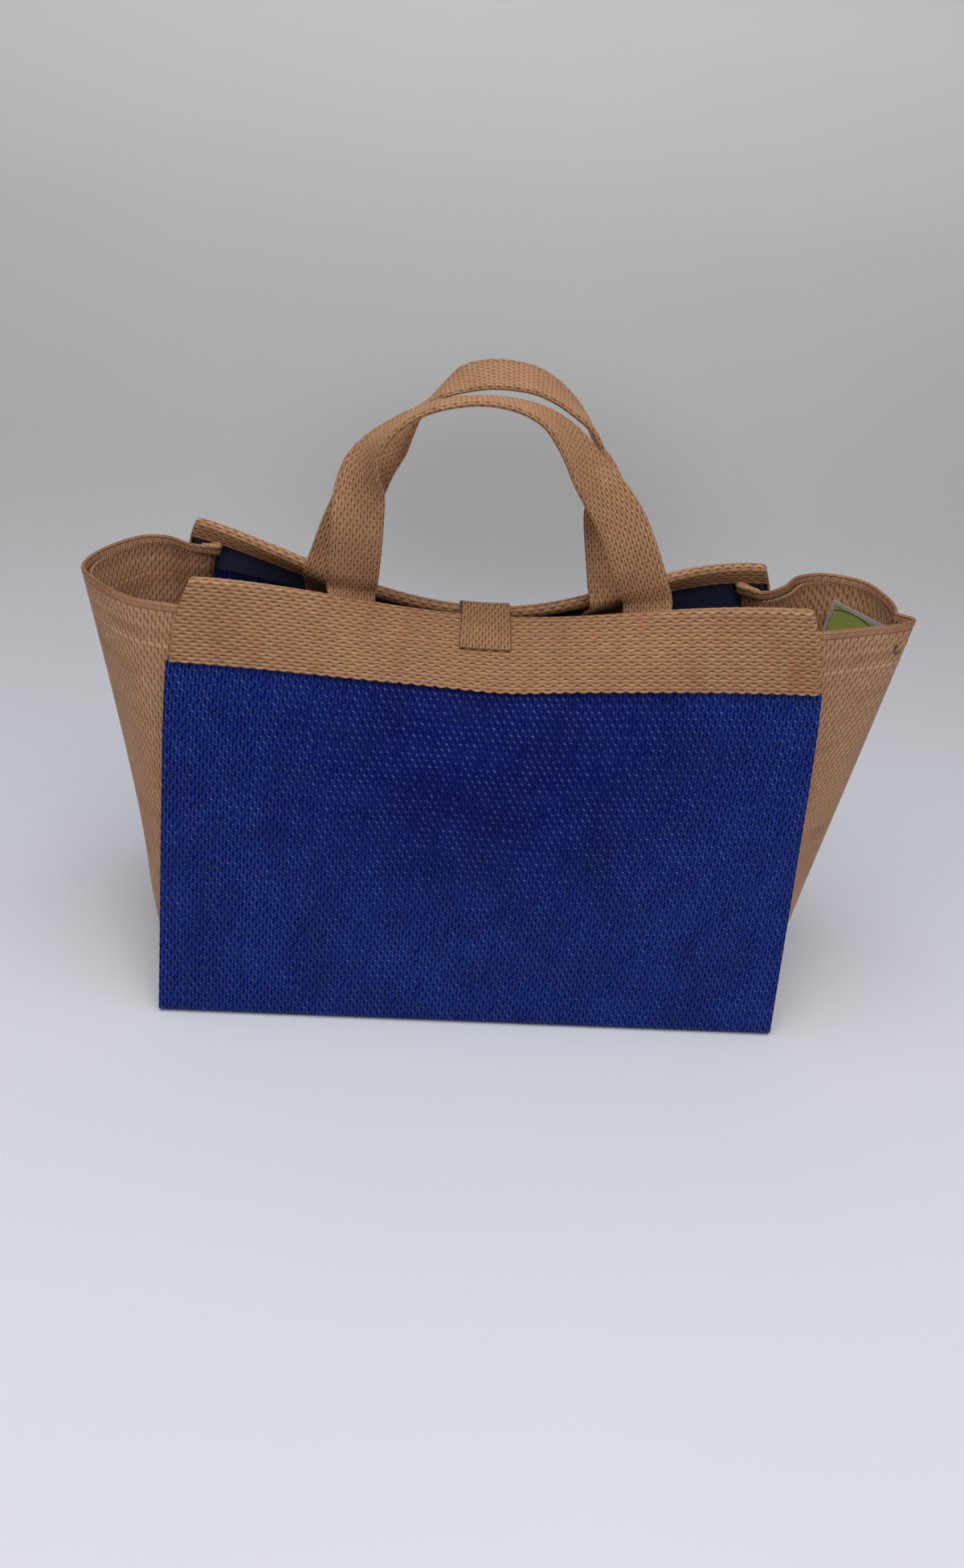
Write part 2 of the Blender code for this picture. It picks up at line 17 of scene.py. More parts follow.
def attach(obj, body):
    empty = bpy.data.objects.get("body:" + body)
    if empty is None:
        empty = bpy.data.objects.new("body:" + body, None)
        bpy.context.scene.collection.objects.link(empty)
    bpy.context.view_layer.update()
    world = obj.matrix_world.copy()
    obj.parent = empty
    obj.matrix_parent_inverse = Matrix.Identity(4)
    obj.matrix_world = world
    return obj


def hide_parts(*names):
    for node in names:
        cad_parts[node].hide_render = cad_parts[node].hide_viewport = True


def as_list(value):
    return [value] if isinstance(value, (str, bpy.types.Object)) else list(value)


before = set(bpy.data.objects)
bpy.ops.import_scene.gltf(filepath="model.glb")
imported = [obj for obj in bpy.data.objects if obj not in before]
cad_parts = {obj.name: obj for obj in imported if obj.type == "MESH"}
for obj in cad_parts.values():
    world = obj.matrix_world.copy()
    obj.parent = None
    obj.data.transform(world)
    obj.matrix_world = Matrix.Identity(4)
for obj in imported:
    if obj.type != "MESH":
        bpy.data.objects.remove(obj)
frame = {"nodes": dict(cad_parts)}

LOG = logging.getLogger("woven_tote")
MM = 0.001
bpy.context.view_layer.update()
BODY = "root"
# Every cloth's map starts this many cords in, and as many millimetres along them.
MAP_START = 12
# Below one, a cord's float is flat on top and steep where it dips.
CREST_POWER = 0.6
# A grid's outermost column and the one beside it, left and right.
EDGES = ((0, 1), (-1, -2))

Point = Tuple[float, float, float]
Array = np.ndarray
Object = bpy.types.Object
Material = bpy.types.Material
Node = bpy.types.Node
Socket = bpy.types.NodeSocket
Source = Union[float, Sequence[float], Node, Socket]


class Wall(Enum):
    """The two standing walls of the bag's body, by the sign of their Y."""

    FRONT = -1
    BACK = 1


class Flank(Enum):
    """The two gussets, by the sign of their X."""

    LEFT = -1
    RIGHT = 1


class CordRun(Enum):
    """Which way the cloth's cords run on its own map."""

    UP = "along v"
    ACROSS = "along u"


def linear(hex_colour: str, alpha: float = 1.0) -> Tuple[float, float, float, float]:
    """Turns an sRGB hex colour to linear values.

    Args:
        hex_colour: Six hex digits, with or without a leading hash.
        alpha: The fourth value.

    Returns:
        Red, green, blue and alpha for a shader socket.
    """
    digits = hex_colour.lstrip("#")
    out = []
    for i in (0, 2, 4):
        part = int(digits[i:i + 2], 16) / 255
        out.append(part / 12.92 if part <= 0.04045 else ((part + 0.055) / 1.055) ** 2.4)
    return (out[0], out[1], out[2], alpha)


def feed(tree: bpy.types.NodeTree, node: Node, inputs: Dict) -> Node:
    """Sets or links a node's inputs.

    Args:
        tree: The node tree.
        node: The node that is fed.
        inputs: Socket name or number to a value, a node (its first output) or an output.

    Returns:
        The same node.
    """
    for socket, value in inputs.items():
        if isinstance(value, Node):
            value = value.outputs[0]
        if isinstance(value, Socket):
            tree.links.new(value, node.inputs[socket])
        else:
            node.inputs[socket].default_value = value
    return node


def add(tree: bpy.types.NodeTree, kind: str, inputs: Optional[Dict] = None, **settings):
    """Adds a node with its settings and links.

    Args:
        tree: The node tree.
        kind: The node's type name.
        inputs: What feeds it, as in feed.
        settings: The node's own options.

    Returns:
        The new node.
    """
    node = tree.nodes.new(kind)
    for option, value in settings.items():
        setattr(node, option, value)
    return feed(tree, node, inputs or {})


class Coat:
    """A material in the making, with short forms of add for the nodes that come up most."""

    def __init__(self, name: str) -> None:
        """Starts the material under its name."""
        self.material = bpy.data.materials.new(name)
        self.material.use_nodes = True
        self.tree = self.material.node_tree

    def calc(self, operation: str, *values: Source, clamp: bool = False) -> Node:
        """One step of arithmetic on numbers."""
        return add(self.tree, "ShaderNodeMath", dict(enumerate(values)), operation=operation,
                   use_clamp=clamp)

    def vector(self, operation: str, *values: Source) -> Node:
        """One step of arithmetic on vectors. SCALE takes a vector and a number."""
        sockets = (0, 3) if operation == "SCALE" else (0, 1)
        return add(self.tree, "ShaderNodeVectorMath", dict(zip(sockets, values)),
                   operation=operation)

    def mixed(self, share: Source, under: Source, over: Source) -> Socket:
        """One colour laid over another."""
        return add(self.tree, "ShaderNodeMix", {"Factor": share, "A": under, "B": over},
                   data_type="RGBA").outputs[2]

    def ranged(self, value: Source, start: float, end: float, low: float, high: float,
               **settings) -> Node:
        """A value between start and end, brought between low and high."""
        return add(self.tree, "ShaderNodeMapRange", {
            "Value": value, "From Min": start, "From Max": end, "To Min": low, "To Max": high},
            **settings)

    def noise(self, place: Source, scale: float, detail: float) -> Node:
        """Soft noise."""
        return add(self.tree, "ShaderNodeTexNoise", {"Vector": place, "Scale": scale,
                                                     "Detail": detail})

    def bump(self, height: Source, strength: float, distance: float) -> Node:
        """Fine relief for the shader."""
        return add(self.tree, "ShaderNodeBump", {"Height": height, "Strength": strength,
                                                 "Distance": distance})

    def chart(self) -> Node:
        """The cloth's own map in millimetres."""
        return add(self.tree, "ShaderNodeUVMap", uv_map="UVMap")

    def place(self) -> Socket:
        """The place on the object in metres."""
        return add(self.tree, "ShaderNodeTexCoord").outputs["Object"]

    def split(self, value: Source) -> bpy.types.NodeOutputs:
        """The three parts of a vector."""
        return add(self.tree, "ShaderNodeSeparateXYZ", {0: value}).outputs

    def done(self, inputs: Dict) -> Material:
        """Feeds the shader and gives the material."""
        feed(self.tree, self.tree.nodes["Principled BSDF"], inputs)
        return self.material


def unit(vectors: Array) -> Array:
    """The vectors at length one."""
    return vectors / np.maximum(np.linalg.norm(vectors, axis=-1, keepdims=True), 1e-12)


def eased(t: Array) -> Array:
    """Eases 0..1 with level ends."""
    t = np.clip(t, 0, 1)
    return t * t * (3 - 2 * t)


def way_along(points: Array) -> Array:
    """How far each point of a line lies along it, from zero."""
    return np.concatenate([[0], np.cumsum(np.linalg.norm(np.diff(points, axis=0), axis=1))])


def read_at(at: Array, marks: Array, rows: Array) -> Array:
    """Reads rows of three values at places between the rows' own marks."""
    return np.stack([np.interp(at, marks, rows[:, i]) for i in range(3)], -1)


def laid_out(u_mm: Array, v_mm: Array) -> Array:
    """A sheet's flat map: each place across with each place up."""
    return np.stack(np.broadcast_arrays(u_mm[None, :], v_mm[:, None]), -1)


def with_sides(points: Array, sides: Sequence[List[Array]]) -> Array:
    """Adds columns to both sides of a grid, each side's listed from the edge outwards."""
    left, right = sides
    return np.concatenate([np.stack(left[::-1], 1), points, np.stack(right, 1)], 1)


def smooth_course(points: Array, t: Array) -> Array:
    """A smooth curve through points, spaced by the distance between them.

    Args:
        points: One row per point; more columns than three ride along.
        t: Places along the curve, 0 to 1.

    Returns:
        One row per place.
    """
    points = np.asarray(points, float)
    marks = way_along(points[:, :3])
    marks = marks / marks[-1]
    last = len(points) - 1
    i = np.clip(np.searchsorted(marks, t, side="right") - 1, 0, last - 1)
    span = (marks[i + 1] - marks[i])[:, None]
    f = (np.asarray(t) - marks[i])[:, None] / span

    def slope(j: Array) -> Array:
        """The curve's slope at points j, over the present span."""
        a, b = np.maximum(j - 1, 0), np.minimum(j + 1, last)
        return (points[b] - points[a]) * (span / (marks[b] - marks[a])[:, None])

    return (points[i] * (2 * f ** 3 - 3 * f * f + 1) + slope(i) * (f ** 3 - 2 * f * f + f)
            + points[i + 1] * (3 * f * f - 2 * f ** 3) + slope(i + 1) * (f ** 3 - f * f))


@dataclass(frozen=True)
class CordWeave:
    """The ribbed cord weave as relief. Sizes in millimetres.

    pitch is the space from cord to cord, float_length one cord's way between two dips, bow how
    far a cord sways against its neighbours, wave how far all sway in step and slant how far one
    float leans, each as a share of the pitch, height the relief from gap to crest, calm_mm where
    along the map the wave begins to grow, grow_mm over what length it does, and row_dip how much
    all cords sink where rows meet.
    """

    pitch: float
    float_length: float
    run: CordRun
    height: float = 0.45
    bow: float = 0.10
    wave: float = 0.0
    slant: float = 0.0
    dip: float = 0.25
    calm_mm: float = 0.0
    grow_mm: float = 110.0
    row_dip: float = 0.0

    def relief(self, chart: Array) -> Array:
        """Height of the cloth's face in metres, zero half-way up a cord.

        Args:
            chart: The cloth's map at each point, in millimetres.

        Returns:
            The height at each place.
        """
        across, along = chart[..., 0], chart[..., 1]
        if self.run is CordRun.ACROSS:
            across, along = along, across
        cell = across / self.pitch
        index = np.floor(cell + 1e-6)
        parity = np.mod(index, 2)
        place = along / self.float_length
        sway = (1 - 2 * parity) * np.cos(2 * np.pi * place)
        part = np.mod(place + parity / 2, 1)
        off = np.abs(cell - index - 0.5 - self.bow * sway - self.slant * (part - 0.5))
        hill = np.sqrt(np.clip(1 - 4 * off * off, 0, 1))
        crest = np.sin(np.pi * part) ** CREST_POWER
        rows = np.abs(np.sin(2 * np.pi * place)) ** CREST_POWER
        sunk = (1 - self.dip + self.dip * crest) * (1 - self.row_dip + self.row_dip * rows)
        return self.height * MM * (hill * sunk - 0.5)

    def swayed(self, points: Array, chart: Array) -> Array:
        """Moves a grid's points in the cloth's plane, so that its cords wave in step.

        Args:
            points: Rows by columns by three.
            chart: The cloth's map at each point, in millimetres.

        Returns:
            The moved points.
        """
        up = self.run is CordRun.UP
        axis, along = (1, chart[..., 1]) if up else (0, chart[..., 0])
        way = unit(np.gradient(points, axis=axis))
        turn = 2 * np.pi * along / self.float_length
        grown = 0.25 + 0.75 * eased((along - self.calm_mm) / self.grow_mm)
        crests = 0.75 * np.cos(turn) + 0.25 * np.cos(2 * turn)
        return points + way * (self.wave * self.pitch * MM * grown * crests)[..., None]


@dataclass(frozen=True)
class CordCloth:
    """Woven polypropylene cord: each cord is a soft rounded ridge with a dark lens-shaped gap
    beside it, and its crest is a little glossy.

    Colours are sRGB hex: gap is painted shade between the cords, body the cords' own colour on
    their flanks, painted_highlight a painted highlight on their rounded tops, painted_glint painted
    glints on the cross threads that show where a cord dips, and blush for the redder streaks that
    run across the cords. Past hem_from mm the cords lie pressed flat under the overlocking, and
    painted_shade_and_highlight_lines are painted shade lines and painted highlight lines along the
    rim as (place, half width in mm, share). painted_shade is painted shade in the middle of a wall
    that sags away from the light, painted_shade_fold the point of the map that both walls mirror
    about, painted_shade_drop the way from there to a wall's middle, and painted_shade_reach how far
    the shade goes, all in millimetres. streak_scale and fibre_scale are the noise's scales across
    the cords and along them.
    """

    name: str
    weave: CordWeave
    # The gap colour is painted shade between the cords; body is the cords' own colour.
    gap: str
    body: str
    # A painted highlight on the crests, and painted glints where a cord dips.
    painted_highlight: str
    painted_glint: str
    painted_glint_share: float = 0.0
    roughness: float = 0.5
    body_at: float = 0.45
    painted_highlight_from: float = 0.72
    tone_spread: float = 0.10
    cloud: float = 0.06
    specular: float = 0.2
    blush: str = "#8C5238"
    blush_share: float = 0.0
    hem_from: float = 1e6
    painted_shade_and_highlight_lines: Tuple[Tuple[float, float, float], ...] = ()
    painted_shade: str = ""
    painted_shade_share: float = 0.0
    painted_shade_fold: Tuple[float, float, float] = (0.0, 0.0, 0.0)
    painted_shade_drop: Tuple[float, float, float] = (0.0, 0.0, 0.0)
    painted_shade_reach: Tuple[float, float] = (1.0, 1.0)
    cord_scale: float = 0.9
    cloud_scale: float = 0.035
    press_mm: float = 0.4
    press_share: float = 0.75
    pressed_height: float = 0.72
    streak_scale: Tuple[float, float] = (0.02, 0.10)
    fibre_scale: Tuple[float, float] = (5.0, 0.5)
    fibre_share: float = 0.18
    bump_strength: float = 0.6
    ior: float = 1.49

    def with_painted_shade(self, coat: Coat, chart: Node, colour: Node
                 ) -> Socket:
        """Mixes painted shade into the middle of each wall.

        Args:
            coat: The material in the making.
            chart: The cloth's map in millimetres.
            colour: The cloth's colour so far.

        Returns:
            The mixed colour.
        """
        mirrored = coat.vector("ABSOLUTE", coat.vector("SUBTRACT", chart, self.painted_shade_fold))
        from_spot = coat.vector("SUBTRACT", mirrored, self.painted_shade_drop)
        across, along = self.painted_shade_reach
        scaled = coat.vector("MULTIPLY", from_spot, (1 / across, 1 / along, 0.0))
        distance = coat.vector("LENGTH", scaled).outputs["Value"]
        share = coat.ranged(distance, 0.25, 1.3, self.painted_shade_share, 0.0,
                            interpolation_type="SMOOTHSTEP")
        return coat.mixed(share, colour, linear(self.painted_shade))

    def build(self) -> Material:
        """Makes the material from the cloth's own map in millimetres."""
        coat, weave = Coat(self.name), self.weave
        tree, calc = coat.tree, coat.calc
        up = weave.run is CordRun.UP
        chart = coat.chart()
        split = coat.split(chart)
        across, along = (split[0], split[1]) if up else (split[1], split[0])

        def stretched(scale_across: float, scale_along: float, detail: float) -> Node:
            """Noise with one scale across the cords and another along them."""
            scale = (scale_across, scale_along) if up else (scale_along, scale_across)
            mapped = add(tree, "ShaderNodeMapping", {"Vector": chart, "Scale": (*scale, 1.0)})
            return coat.noise(mapped, 1.0, detail)

        cell = calc("MULTIPLY", across, 1 / weave.pitch)
        index = calc("FLOOR", cell)
        local = calc("FRACT", cell)
        parity = calc("MODULO", index, 2.0)
        sign = calc("MULTIPLY_ADD", parity, -2.0, 1.0)
        place = calc("MULTIPLY", along, 1 / weave.float_length)
        turn = calc("MULTIPLY", place, 2 * math.pi)
        sway = calc("MULTIPLY", calc("COSINE", turn), sign)
        shifted = calc("MULTIPLY_ADD", parity, 0.5, place)
        part = calc("FRACT", shifted)
        lean = calc("MULTIPLY_ADD", part, -weave.slant, 0.5 * weave.slant - 0.5)
        off = calc("ADD", local, calc("MULTIPLY_ADD", sway, -weave.bow, lean))
        squared = calc("MULTIPLY", off, off)
        hill = calc("SQRT", calc("MULTIPLY_ADD", squared, -4.0, 1.0, clamp=True))
        arch = calc("SINE", calc("MULTIPLY", part, math.pi))
        crest = calc("POWER", arch, CREST_POWER)
        rise = calc("MULTIPLY_ADD", crest, weave.dip, 1 - weave.dip)
        rows = calc("POWER", calc("ABSOLUTE", calc("SINE", turn)), CREST_POWER)
        row_rise = calc("MULTIPLY_ADD", rows, weave.row_dip, 1 - weave.row_dip)
        height = calc("MULTIPLY", hill, calc("MULTIPLY", rise, row_rise))

        cord_tone = coat.noise(add(tree, "ShaderNodeCombineXYZ", {0: index, 1: place}),
                               self.cord_scale, 1.0)
        cloud = coat.noise(chart, self.cloud_scale, 2.0)
        pressed = coat.ranged(along, self.hem_from - self.press_mm, self.hem_from, 0.0,
                              self.press_share)
        seen = add(tree, "ShaderNodeMix", {"Factor": pressed, "A": height,
                                          "B": self.pressed_height})
        # The ramp paints shade and highlight by the relief's height: painted shade in the gaps and
        # dips, the cords' own colour on the flanks, a painted highlight on the crests.
        base = add(tree, "ShaderNodeValToRGB", {"Fac": seen})
        stops = base.color_ramp.elements
        stops[0].color, stops[1].color = linear(self.gap), linear(self.painted_highlight)
        for at in (self.body_at, self.painted_highlight_from):
            stops.new(at).color = linear(self.body)

        # Painted glints: bright dots at random threads where a cord dips.
        sharp = calc("POWER", calc("SUBTRACT", 1.0, crest), 3.0)
        dot = calc("MULTIPLY", sharp, calc("POWER", hill, 2.0))
        thread = add(tree, "ShaderNodeCombineXYZ", {0: index, 1: calc("FLOOR", shifted)})
        chance = add(tree, "ShaderNodeTexWhiteNoise", {"Vector": thread}, noise_dimensions="2D")
        painted_glint = calc("MULTIPLY", calc("MULTIPLY", dot, chance), self.painted_glint_share, clamp=True)
        # Painted shade in the middle of each wall, where it sags away from the light.
        ground = self.with_painted_shade(coat, chart, base) if self.painted_shade else base
        with_painted_glint = coat.mixed(painted_glint, ground, linear(self.painted_glint))
        cord_share, cloud_share = (
            coat.ranged(noise, 0.3, 0.7, 1 - spread, 1 + spread)
            for noise, spread in ((cord_tone, self.tone_spread), (cloud, self.cloud)))
        tone = calc("MULTIPLY", cord_share, cloud_share)
        streak = stretched(*self.streak_scale, 3.0)
        blushed = coat.ranged(streak, 0.45, 0.75, 0.0, self.blush_share)
        reddened = coat.mixed(blushed, with_painted_glint, linear(self.blush))
        # Painted shade lines and painted highlight lines along the rim.
        for place_mm, half_width, share in self.painted_shade_and_highlight_lines:
            line = calc("COMPARE", along, place_mm, half_width)
            tone = calc("MULTIPLY_ADD", line, share, tone)
        clouded = coat.vector("SCALE", reddened, tone)
        fibre = stretched(*self.fibre_scale, 2.0)
        rough = calc("MULTIPLY_ADD", fibre, self.fibre_share, height)
        bump = coat.bump(rough, self.bump_strength, weave.height * MM)
        return coat.done({"Base Color": clouded, "Normal": bump, "Roughness": self.roughness,
                          "Specular IOR Level": self.specular, "IOR": self.ior})


BODY_WEAVE = CordWeave(320 / 181, 5.93, CordRun.UP, height=0.40, bow=0.05, slant=0.46, dip=0.30,
                       row_dip=0.16)
BAND_WEAVE = CordWeave(1.77, 5.90, CordRun.ACROSS, height=0.46, bow=0.09, wave=0.24, dip=0.42,
                       calm_mm=40.0)
GUSSET_WEAVE = CordWeave(1.92, 5.60, CordRun.UP, height=0.38, bow=0.05, slant=0.50, dip=0.26,
                         row_dip=0.20)
HANDLE_WEAVE = CordWeave(1.53, 4.60, CordRun.UP, height=0.40, bow=0.10, slant=0.16, dip=0.25,
                         row_dip=0.30)
TAB_WEAVE = CordWeave(24.5 / 16, 4.6, CordRun.UP, height=0.32, bow=0.09, slant=0.2, dip=0.25,
                      row_dip=0.25)

HEM_TOP_MM = 231.0
# Each cloth's first four colours: painted shade in the gaps, the cords' own colour, a painted
# highlight on the crests and painted glints where cords dip.
BLUE_CLOTH = CordCloth("blue_polypropylene_cord_cloth", BODY_WEAVE, "#020A34", "#05155A",
                       "#2847A2", "#8093D2", 0.9, 0.40, 0.5, 0.82, cloud=0.16, specular=0.08,
                       # Painted shade in the middle of the walls.
                       blush="#15276A", blush_share=0.30, painted_shade="#000850", painted_shade_share=0.80,
                       painted_shade_fold=(181.0, 314.0, 0.0), painted_shade_drop=(0.0, 212.0, 0.0),
                       painted_shade_reach=(125.0, 88.0))
BAND_CLOTH = CordCloth("tan_band_cord_cloth", BAND_WEAVE, "#4A2F1D", "#926A4B", "#B28963",
                       "#C4A07D", 0.3, 0.55, 0.5, blush_share=0.40)
GUSSET_CLOTH = CordCloth("tan_gusset_cord_cloth", GUSSET_WEAVE, "#71503A", "#A37A5C", "#BC9473",
                         "#CBAA8B", 0.3, 0.55, 0.5, blush_share=0.45, hem_from=HEM_TOP_MM - 4.0,
                         # Painted shade lines at the hem's grooves, painted highlight lines on the
                         # ribs below.
                         painted_shade_and_highlight_lines=((HEM_TOP_MM - 1.2, 0.20, -0.5), (HEM_TOP_MM - 4.0, 0.28, -0.6),
                                     (HEM_TOP_MM + 4.0, 0.28, -0.6), (HEM_TOP_MM - 12.5, 0.5, 0.25),
                                     (HEM_TOP_MM - 22.0, 0.6, 0.25)))
STRAP_WEBBING = CordCloth("tan_webbing_strap", HANDLE_WEAVE, "#5A3D28", "#976E4E", "#BA916C",
                          "#CBA986", 0.3, 0.55, 0.5, blush_share=0.25)
TAB_CLOTH = CordCloth("tan_tab_cord_cloth", TAB_WEAVE, "#4A2F1D", "#8E6748", "#AC8460",
                      "#C4A07D", 0.25, 0.55, 0.5, blush_share=0.20)


@dataclass(frozen=True)
class NavyTapeAndShade:
    """Dyed cotton facing tape: matt, close plain weave that reads as a flat dark strip; its dark navy
    is partly painted shade, for the dim inside under the folded band.
    """

    name: str = "navy_cotton_facing_tape"
    # The dark navy is partly painted shade, for the dim inside under the folded band.
    colour: str = "#262E50"
    thread: str = "#363F64"
    pitch: float = 0.6

    def build(self) -> Material:
        """Makes the material from the tape's own map in millimetres."""
        coat = Coat(self.name)
        chart = coat.chart()
        check = add(coat.tree, "ShaderNodeTexChecker", {
            "Vector": chart, "Color1": linear(self.colour), "Color2": linear(self.thread),
            "Scale": 1 / self.pitch})
        base = coat.mixed(coat.noise(chart, 0.15, 3.0), check, linear(self.colour))
        bump = coat.bump(check.outputs[1], 0.3, 0.0002)
        return coat.done({"Base Color": base, "Normal": bump, "Roughness": 0.85})


@dataclass(frozen=True)
class SewingThread:
    """Spun polyester sewing thread: a soft twisted cord of one dye."""

    name: str
    colour: str
    shade: str

    def build(self) -> Material:
        """Makes the material."""
        coat = Coat(self.name)
        twist = coat.noise(coat.place(), 900.0, 2.0)
        base = coat.mixed(twist, linear(self.colour), linear(self.shade))
        return coat.done({"Base Color": base, "Roughness": 0.6})


@dataclass(frozen=True)
class ClearFilm:
    """Clear PVC sleeve film: thin and glossy, with milky welded margins. start and along give
    the sleeve's lower line, length its width and top its height, in metres."""

    name: str = "clear_pvc_sleeve_film"
    colour: str = "#C9C6C6"
    haze: str = "#B4B0B2"
    start: Point = (0.0, 0.0, 0.0)
    along: Point = (1.0, 0.0, 0.0)
    length: float = 0.042
    top: float = 0.2045
    margin: float = 0.0022

    def build(self) -> Material:
        """Makes the material."""
        coat = Coat(self.name)
        place = coat.place()
        tone = coat.mixed(coat.noise(place, 60.0, 2.0), linear(self.colour), linear(self.haze))
        reach = coat.vector("DOT_PRODUCT", coat.vector("SUBTRACT", place, self.start), self.along)
        off_middle = coat.calc("SUBTRACT", reach.outputs["Value"], self.length / 2)
        at_side = coat.calc("GREATER_THAN", coat.calc("ABSOLUTE", off_middle),
                            self.length / 2 - self.margin)
        at_top = coat.calc("GREATER_THAN", coat.split(place)[2], self.top - self.margin)
        alpha = coat.ranged(coat.calc("MAXIMUM", at_side, at_top), 0.0, 1.0, 0.05, 0.45)
        return coat.done({"Base Color": tone, "Alpha": alpha, "Roughness": 0.18, "IOR": 1.53})


@dataclass(frozen=True)
class PrintedCard:
    """Coated cardboard printed in a plain yellow green, with one thin dark curved rule."""

    name: str = "green_coated_card"
    colour: str = "#97A232"
    shade: str = "#84902B"
    rule: str = "#2C3015"
    centre: Point = (0.1902, 0.0249, 0.1622)
    radius: float = 0.0400
    half_line: float = 0.00035

    def build(self) -> Material:
        """Makes the material."""
        coat = Coat(self.name)
        place = coat.place()
        base = coat.mixed(coat.noise(place, 90.0, 3.0), linear(self.colour), linear(self.shade))
        away = coat.vector("DISTANCE", place, self.centre).outputs["Value"]
        ring = coat.calc("COMPARE", away, self.radius, self.half_line)
        return coat.done({"Base Color": coat.mixed(ring, base, linear(self.rule)),
                          "Roughness": 0.38})


@dataclass(frozen=True)
class SweepPaper:
    """Matt backdrop paper with painted shade: pale on the floor, painted darker where it bends up, and
    a painted shadow behind the bag. painted_shade_tones are the colours along its run, as (metres
    back and up, hex)."""

    name: str = "matt_backdrop_paper"
    reach: Tuple[float, float] = (-0.4, 1.6)
    painted_shade_tones: Tuple[Tuple[float, str], ...] = (
        (-0.35, "#DFE1E8"), (0.10, "#C7CAD4"), (0.45, "#C0C1C5"), (0.70, "#B0B0B1"),
        (1.20, "#BFC0C1"), (1.50, "#D4D5D7"))
    # A painted shadow: a soft dark patch on the sweep behind the bag.
    painted_shadow_at: Point = (0.055, 0.62, 0.03)
    painted_shadow_reach: Tuple[float, float] = (0.06, 0.30)
    painted_shadow_share: float = 0.80

    def build(self) -> Material:
        """Makes the material."""
        coat = Coat(self.name)
        place = coat.place()
        split = coat.split(place)
        low, high = self.reach
        run = coat.calc("ADD", split[1], split[2])
        # Painted shade along the run: pale floor, darker at the bend, lighter up the wall.
        tone = add(coat.tree, "ShaderNodeValToRGB", {"Fac": coat.ranged(run, low, high, 0.0, 1.0)})
        ramp = tone.color_ramp
        ramp.interpolation = "B_SPLINE"
        for element, (at, colour) in zip(ramp.elements, (self.painted_shade_tones[0], self.painted_shade_tones[-1])):
            element.position, element.color = (at - low) / (high - low), linear(colour)
        for at, colour in self.painted_shade_tones[1:-1]:
            ramp.elements.new((at - low) / (high - low)).color = linear(colour)
        # Painted shadow behind the bag.
        away = coat.vector("DISTANCE", place, self.painted_shadow_at).outputs["Value"]
        painted_shadow = coat.ranged(away, *self.painted_shadow_reach, self.painted_shadow_share, 1.0,
                          interpolation_type="SMOOTHSTEP")
        grain = coat.ranged(coat.noise(place, 6.0, 4.0), 0.0, 1.0, 0.985, 1.015)
        base = coat.vector("SCALE", tone, coat.calc("MULTIPLY", painted_shadow, grain))
        return coat.done({"Base Color": base, "Roughness": 0.9, "Specular IOR Level": 0.1})


@dataclass(frozen=True)
class BodyCut:
    """Sizes of the body's one cut of cloth, and of the bands and tapes sewn to it, in metres."""

    width: float = 0.320
    depth: float = 0.148
    height: float = 0.228
    cloth: float = 0.0012
    corner: float = 0.0030
    bulge: float = 0.003
    edge_draw: float = 0.0095
    sewn_gap: float = 0.0010
    clearance: float = 0.0003
    band_cloth: float = 0.0012
    band_ridge: float = 0.00025
    tab_cloth: float = 0.0012
    gusset_cloth: float = 0.0011
    ridge: float = 0.00035
    strap: float = 0.0030
    strap_ease: float = 0.00025

    @property
    def half(self) -> float:
        """Half the body cloth."""
        return self.cloth / 2

    @property
    def band_offset(self) -> float:
        """From the middle of the body cloth to the middle of a band."""
        return self.half + self.sewn_gap + self.band_cloth / 2 + self.band_ridge

    @property
    def flange_offset(self) -> float:
        """From the middle of the body cloth to the middle of a gusset's flange."""
        return self.half + self.ridge + self.sewn_gap + self.gusset_cloth / 2

    @property
    def strap_offset(self) -> float:
        """From the middle of the body cloth to the middle of a tucked strap end."""
        return (self.band_offset + self.band_cloth / 2 + 3 * self.clearance + self.strap / 2
                + self.strap_ease)

    @property
    def tab_offset(self) -> float:
        """From the middle of the body cloth to the middle of the closing tab."""
        return (self.band_offset + self.band_cloth / 2 + self.band_ridge + self.clearance
                + self.tab_cloth / 2)


CUT = BodyCut()


